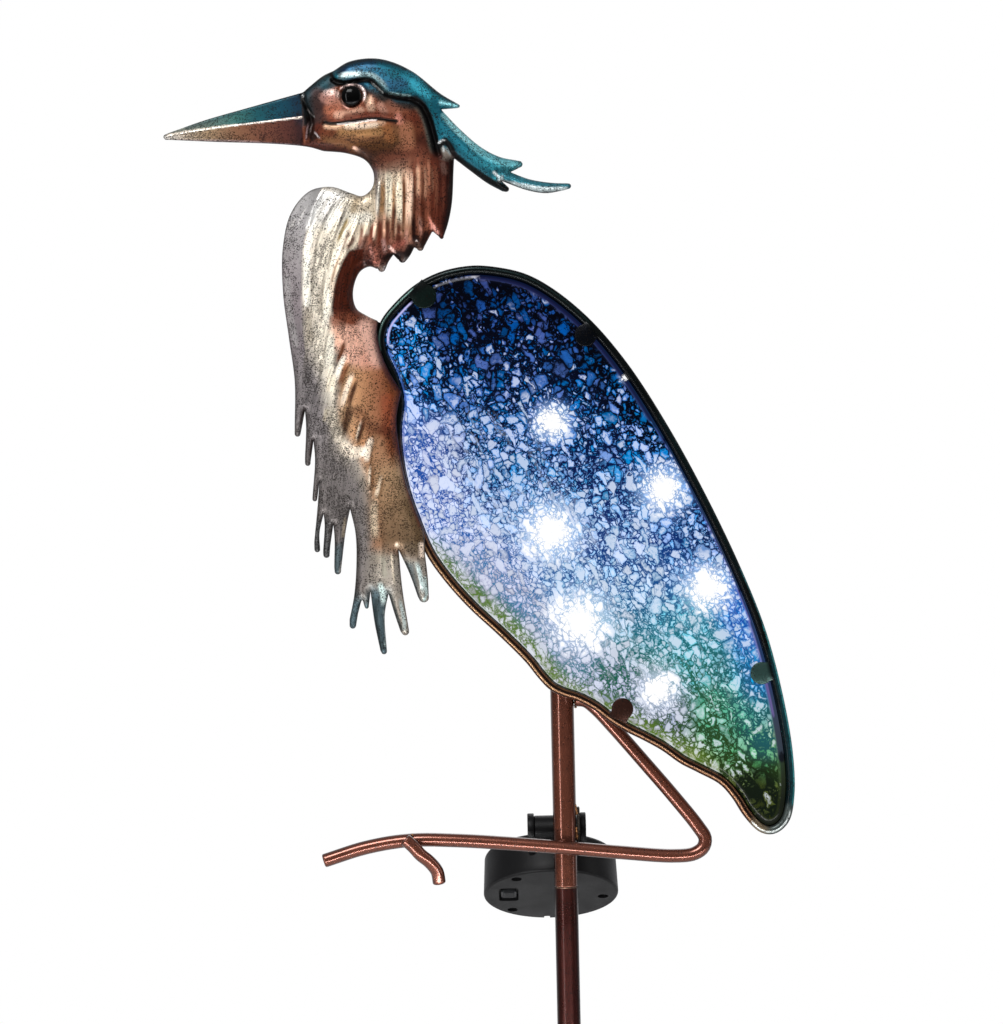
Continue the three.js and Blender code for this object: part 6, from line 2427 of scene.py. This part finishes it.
@dataclass
class SolarUnit:
    """The round case, its hinge, its panel and its switch."""

    tilt: float = math.radians(26.6)
    base: tuple[float, float, float] = (-8.0, 41.0, 291.2)
    radius: float = 38.2
    top_radius: float = 37.4
    height: float = 24.0
    foot: float = 1.6
    rim: float = 3.0
    panel_radius: float = 32.0
    panel_top: float = 23.8
    panel_thick: float = 1.6
    cell_width: float = 12.0
    barrel_radius: float = 7.4
    barrel: tuple[float, float] = (-17.0, 6.5)
    ear_radius: float = 8.7
    ears: Sequence[tuple[float, float]] = ((-20.7, -17.0), (8.8, 12.0))
    lug_room: float = 2.3
    pin: tuple[float, float] = (-20.1, 11.4)
    pin_radius: float = 2.0
    switch: tuple[float, float, float, float, float] = (-24.0, -2.0, 11.0, 20.0, 3.2)
    wells: Sequence[tuple[float, float]] = ((-19.5, -26), (29.5, 3.8), (-22, 22.6))
    well_radius: float = 3.0
    well_depth: float = 2.5
    notch: tuple[float, float, float, float] = (-2.2, 3.4, 8.0, 1.5)
    ribs: int = 5
    rib_step: float = 1.55

    def lean(self, points: np.ndarray) -> np.ndarray:
        """Lean points from the case's own axis into place."""
        c, s = math.cos(self.tilt), math.sin(self.tilt)
        y = points[:, 1] * c + points[:, 2] * s + self.base[1]
        z = -points[:, 1] * s + points[:, 2] * c + self.base[2]
        return np.column_stack([points[:, 0] + self.base[0], y, z])

    def ear(self, span: tuple[float, float]) -> Draft:
        """Draw one ear of the hinge, round about the pin and rooted in the drum.

        Args:
            span: Lowest and highest x.

        Returns:
            The ear.
        """
        turns = -self.tilt - math.pi * 0.62 + math.pi * 1.3 * np.arange(33) / 32
        y = HINGE[0] - self.ear_radius * np.sin(turns)
        z = HINGE[1] + self.ear_radius * np.cos(turns)
        root = [(HINGE[0] - 3.5, HINGE[1] - 13), (HINGE[0] + 6, HINGE[1] - 14)]
        outline = np.vstack([np.column_stack([y, z]), root])
        after = np.roll(outline, -1, axis=0)
        if np.sum(outline[:, 0] * after[:, 1] - after[:, 0] * outline[:, 1]) > 0:
            outline = outline[::-1]
        rows = [(0.5, span[1]), (0.15, span[1] - 0.15), (0.0, span[1] - 0.5), (0.0, span[0] + 0.5),
                (0.15, span[0] + 0.15), (0.5, span[0])]
        draft = Draft().rings(outline, rows)
        return draft.moved(lambda p: p[:, [1, 0, 2]])

    def build_case(self) -> bpy.types.Object:
        """Build the drum with its recess, wells and notch, and its hinge.

        Returns:
            The new object.
        """
        profile = [(0.0, 0.0), (20.0, 0.0), (self.radius - self.foot, 0.0)]
        for turn in np.linspace(0, math.pi / 2, 7)[1:]:
            out, up = 1 - math.sin(turn), 1 - math.cos(turn)
            profile.append((self.radius - self.foot * out, self.foot * up))
        profile.append((self.radius - 0.25, 8.0))
        for turn in np.linspace(0, math.pi / 2, 9):
            out, up = 1 - math.cos(turn), 1 - math.sin(turn)
            profile.append((self.top_radius - self.rim * out, self.height - self.rim * up))
        floor = self.panel_top - self.panel_thick - GAP
        seat = self.panel_radius + GAP
        profile += [(seat + 0.3, self.height), (seat, self.height - 0.3), (seat, floor), (0.0, floor)]
        drum = Draft().lathe(profile, 120).moved(self.lean).mesh("drum", 35)
        sx, sy, wide, long, deep = self.switch
        cutters = [Draft().slab(self.rounded_box(sx, sy, wide, long, 2.0), -deep, deep)]
        for wx, wy in self.wells:
            turns = -2 * np.pi * np.arange(32) / 32
            round_about = self.well_radius * np.column_stack([np.cos(turns), np.sin(turns)])
            cutters.append(Draft().slab(np.array([wx, wy]) + round_about, -self.well_depth, self.well_depth))
        nx, wide, long, deep = self.notch
        cutters.append(Draft().slab(self.rounded_box(nx, self.radius, wide, long, 0.8), -deep, deep))
        for number, cutter in enumerate(cutters):
            cutter.moved(lambda p: p[:, [0, 2, 1]]).moved(self.lean)
            cut_away(drum, cutter.mesh(f"cutter_{number}"))
        start, end = self.barrel
        clear = disc(self.barrel_radius, 0, self.lug_room)
        cut_away(drum, about_hinge(end, clear).mesh("lug_clearance"))
        draft = Draft()
        barrel = disc(self.barrel_radius, 0, end - start, (0.5, 0.5))
        for form in (*map(self.ear, self.ears), about_hinge(start, barrel)):
            draft.take(form)
        hinge = draft.mesh("hinge_form", 35)
        return merged("solar_case", [drum, hinge])

    @staticmethod
    def rounded_box(cx: float, cy: float, wide: float, long: float, corner: float) -> np.ndarray:
        """Draw a box with round corners, clockwise.

        Args:
            cx: Centre across.
            cy: Centre along.
            wide: Width.
            long: Length.
            corner: Radius of the corners.

        Returns:
            The outline.
        """
        points = []
        for quarter, (kx, ky) in enumerate(((1, 1), (1, -1), (-1, -1), (-1, 1))):
            centre = (cx + kx * (wide / 2 - corner), cy + ky * (long / 2 - corner))
            for turn in np.linspace(0, math.pi / 2, 6):
                angle = math.pi / 2 - quarter * math.pi / 2 - turn
                points.append((centre[0] + corner * math.cos(angle), centre[1] + corner * math.sin(angle)))
        return np.array(points)

    def build(self) -> tuple[bpy.types.Object, ...]:
        """Build the case, the panel, the pin and the switch's slider.

        Returns:
            The new objects.
        """
        case = self.build_case()
        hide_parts("solar_housing")
        low = self.panel_top - self.panel_thick
        flat = Draft().lathe(disc(self.panel_radius, low, self.panel_top, (0.2, 0.4)), 96)
        points = np.vstack(flat.points)
        panel = flat.moved(self.lean).mesh("solar_cells", 35)
        grid = points[:, :2] / self.cell_width + 8.0
        colours_on(panel, "flat", np.column_stack([grid, np.zeros(len(grid)), np.ones(len(grid))]))
        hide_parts("solar_panel")
        start, end = self.pin
        profile = disc(self.pin_radius, 0, end - start, (0.4, 0.4))
        pin = about_hinge(start, profile, 32).mesh("hinge_pin_turned", 35)
        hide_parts("hinge_pin")
        slider = self.build_slider()
        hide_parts("switch_knob")
        return case, panel, pin, slider

    def build_slider(self) -> bpy.types.Object:
        """Build the switch's ribbed slider.

        Returns:
            The new object.
        """
        sx, depth = self.switch[0], self.switch[4]
        draft = Draft()
        low, high = depth - GAP - 1.6, depth - GAP
        forms = [Draft().slab(self.rounded_box(sx, 1.6, 8.6, 9.0, 0.8), low, high)]
        for rib in range(self.ribs):
            shape = self.rounded_box(sx, -1.5 + self.rib_step * rib, 6.4, 0.8, 0.3)
            forms.append(Draft().slab(shape, low - 0.55, low + 0.2))
        for form in forms:
            form.moved(lambda p: p[:, [0, 2, 1]]).moved(self.lean)
            draft.take(form)
        return draft.mesh("switch_slider", 35)


@dataclass
class HingeLug:
    """The steel lug on the leg's right side that holds the pin."""

    radius: float = 6.4
    hole: float = 2.3
    span: tuple[float, float] = (6.85, 8.45)

    def build(self) -> bpy.types.Object:
        """Build the lug as a plate with softened edges and a hole for the pin.

        Returns:
            The new object.
        """
        turns = np.radians(80 - 165 * np.arange(25) / 24)
        end = np.array(HINGE) + self.radius * np.column_stack([np.cos(turns), np.sin(turns)])
        outline = evenly(np.vstack([[(-2, 325.5), (-2, 339.5), (1.5, 343.8), (8, 343.8)], end]), 0.9, True)
        low, high = self.span
        rows = [(0.3, high), (0.0, high - 0.3), (0.0, low + 0.3), (0.3, low)]
        draft = Draft().rings(outline, rows).moved(lambda p: p[:, [1, 0, 2]])
        plate = draft.mesh("hinge_plate", 35)
        cut_away(plate, about_hinge(low, disc(self.hole, -2, 4), 32).mesh("drill"))
        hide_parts("hinge_lug")
        return plate


def cut_away(piece: bpy.types.Object, tool: bpy.types.Object) -> None:
    """Subtract a tool from a piece for good.

    Args:
        piece: The object to cut.
        tool: The object to cut with, which is removed.
    """
    cut = piece.modifiers.new("cut", "BOOLEAN")
    cut.operation, cut.solver, cut.object = "DIFFERENCE", "EXACT", tool
    graph = bpy.context.evaluated_depsgraph_get()
    fresh = bpy.data.meshes.new_from_object(piece.evaluated_get(graph))
    piece.modifiers.clear()
    piece.data = fresh
    fresh.polygons.foreach_set("use_smooth", [True] * len(fresh.polygons))
    fresh.set_sharp_from_angle(angle=math.radians(35))
    bpy.data.objects.remove(tool)


def merged(name: str, parts: Sequence[bpy.types.Object]) -> bpy.types.Object:
    """Merge objects into one new object and remove them.

    Args:
        name: The new object's name.
        parts: The objects.

    Returns:
        The new object.
    """
    draft = Draft()
    for part in parts:
        draft.add(points_of(part), [tuple(face.vertices) for face in part.data.polygons])
        bpy.data.objects.remove(part)
    return draft.mesh(name, 35)


@dataclass
class Studio:
    """The camera, the lights, the floor and the surroundings."""

    camera_at: tuple[float, float, float] = (-0.0314, -2.023, 0.5092)
    roll: float = math.radians(1.25)
    lens: float = 127.8
    floor_radius: float = 1.25

    def build(self) -> None:
        """Set up the whole studio."""
        self.place_camera()
        self.lay_floor()
        self.hang_lights()
        self.surround()
        bpy.context.scene.view_settings.view_transform = "Standard"

    def place_camera(self) -> None:
        """Place the camera at the photograph's view."""
        data = bpy.data.cameras.new("camera")
        data.sensor_fit, data.sensor_height, data.lens = "VERTICAL", 36.0, self.lens
        data.clip_start, data.clip_end = 0.05, 50.0
        camera = bpy.data.objects.new("camera", data)
        camera.location = self.camera_at
        camera.rotation_euler = (math.pi / 2, self.roll, 0.0)
        bpy.context.scene.collection.objects.link(camera)
        bpy.context.scene.camera = camera

    def lay_floor(self) -> None:
        """Lay a plain pale floor."""
        sides = 96
        turns = 2 * np.pi * np.arange(sides) / sides
        ring = np.column_stack([np.cos(turns), np.sin(turns), np.zeros(sides)]) * self.floor_radius
        data = bpy.data.meshes.new("floor")
        data.from_pydata(ring.tolist(), [], [tuple(range(sides))])
        floor = bpy.data.objects.new("floor", data)
        bpy.context.scene.collection.objects.link(floor)
        made, graph, shader = principled("floor")
        place = graph.place()
        tone = graph.blend(graph.noise(place, 6.0), rgba("#e9e9ea"), rgba("#f1f1f1"))
        graph.feed(shader, {"Base Color": tone, "Roughness": 0.85})
        data.materials.append(made)

    @staticmethod
    def hang_lights() -> None:
        """Hang soft lamps: a broad one in front, strips at the left, right and below, and one behind."""
        lamps = (
            # Name, place, aim and size in metres, and power in watts
            ("top", (-0.5, -1.3, 1.8), (-0.03, 0, 0.5), (0.9, 0.6), 25.0),
            ("left", (-1.2, -1.5, 0.6), (0, 0, 0.5), (0.1, 1.5), 8.0),
            ("right", (1.5, -0.2, 0.8), (0, 0, 0.5), (0.16, 1.4), 2.5),
            ("low", (-0.1, -0.6, 0.02), (0, 0, 0.33), (1.4, 0.03), 5.5),
            ("back", (0.3, 1.4, 1.4), (0, 0, 0.5), (1.2, 0.8), 5.0),
        )
        for name, where, to, size, power in lamps:
            data = bpy.data.lights.new(name, "AREA")
            data.shape, data.size, data.size_y, data.energy = "RECTANGLE", size[0], size[1], power
            lamp = bpy.data.objects.new(name, data)
            lamp.location = where
            lamp.rotation_euler = (Vector(to) - Vector(where)).to_track_quat("-Z", "Y").to_euler()
            bpy.context.scene.collection.objects.link(lamp)

    @staticmethod
    def surround() -> None:
        """Make the surroundings: white to the camera, a soft grey room to everything else."""
        world = bpy.data.worlds.new("room")
        world.use_nodes = True
        world.node_tree.nodes.clear()
        graph = Graph(world.node_tree)
        sight = graph.add("ShaderNodeTexCoord").outputs["Generated"]
        way = graph.add("ShaderNodeSeparateXYZ", {}, {"Vector": sight})
        up = graph.rise(way.outputs["Z"], -0.25, 0.9)
        room = graph.blend(up, (0.07, 0.07, 0.075, 1), (0.34, 0.34, 0.35, 1))
        room = graph.blend(graph.rise(way.outputs["Y"], 0.2, 0.9), room, (0.75, 0.75, 0.77, 1))
        seen = graph.add("ShaderNodeLightPath").outputs["Is Camera Ray"]
        colour = graph.blend(seen, room, (1.0, 1.0, 1.0, 1))
        light = graph.add("ShaderNodeBackground", {}, {"Color": colour, "Strength": 1.0})
        graph.add("ShaderNodeOutputWorld", {}, {"Surface": light.outputs["Background"]})
        bpy.context.scene.world = world


def main() -> None:
    """Build every piece, dress it, and set up the studio."""
    logging.basicConfig(level=logging.INFO, format="%(message)s")
    effects = Effects()
    plate = MetalPaint(
        "heron_paint", painted="paint", metallic=0.5, roughness=0.4, spatter=1.0, feathered=True,
    ).material(effects)
    carry(HeronPlate().build(), Body.HERON, Finish.HERON, plate)
    eye = Moulded("eye_black", "#040404", 0.08, 0.0, shine=0.12)
    carry(EyeBead().build(), Body.HERON, Finish.EYE, eye.material(effects))
    tray = MetalPaint("tray_paint", painted="paint", metallic=0.5, roughness=0.3, spatter=0.5, coat=0.1)
    carry(WingTray().build(), Body.HERON, Finish.TRAY, tray.material(effects))
    carry(WingGlass().build(), Body.HERON, Finish.GLASS, CrackleGlass().material(effects))
    lamp = Moulded("lamp", "#f4f6ff", 0.25, 0.02, 1.5).material(effects)
    for dome in Lamps().build():
        carry(dome, Body.HERON, Finish.LAMP, lamp)
    legs = Legs()
    copper = MetalPaint(
        "copper_paint", painted="paint", metallic=0.65, roughness=0.2, spatter=0.12, coat=0.5, contrast=0.15,
        relief=0.0, shine=0.4, painted_edge_shade="#120806",
    ).material(effects)
    dark = MetalPaint(
        "stake_paint", painted="paint", metallic=0.7, roughness=0.3, spatter=0.3, coat=0.2, contrast=0.3,
        relief=0.0, shine=0.2, painted_edge_shade="#120605",
    ).material(effects)
    stake, *bars = legs.build()
    carry(stake, Body.HERON, Finish.STAKE, dark)
    for bar in bars:
        carry(bar, Body.HERON, Finish.COPPER, copper)
    gold = MetalPaint("weld_metal", "#8d6240", metallic=0.8, roughness=0.3, spatter=0.6).material(effects)
    carry(legs.welds(), Body.HERON, Finish.COPPER, gold)
    lug = MetalPaint("lug_paint", "#2e2a26", metallic=0.6, roughness=0.35).material(effects)
    carry(HingeLug().build(), Body.HERON, Finish.TRAY, lug)
    plastic = Moulded("case_plastic", "#0e0e0f", 0.44, 0.12, shine=0.15).material(effects)
    case, panel, pin, slider = SolarUnit().build()
    carry(case, Body.SOLAR, Finish.CASE, plastic)
    carry(panel, Body.SOLAR, Finish.CELL, SolarCell().material(effects))
    steel = MetalPaint("pin_steel", "#8c8f92", metallic=0.9, roughness=0.32, spatter=0.1).material(effects)
    carry(pin, Body.SOLAR, Finish.PIN, steel)
    carry(slider, Body.SWITCH, Finish.CASE, Moulded("slider_plastic", "#1f2022", 0.45, 0.1).material(effects))
    Studio().build()


if __name__ == "__main__":
    main()
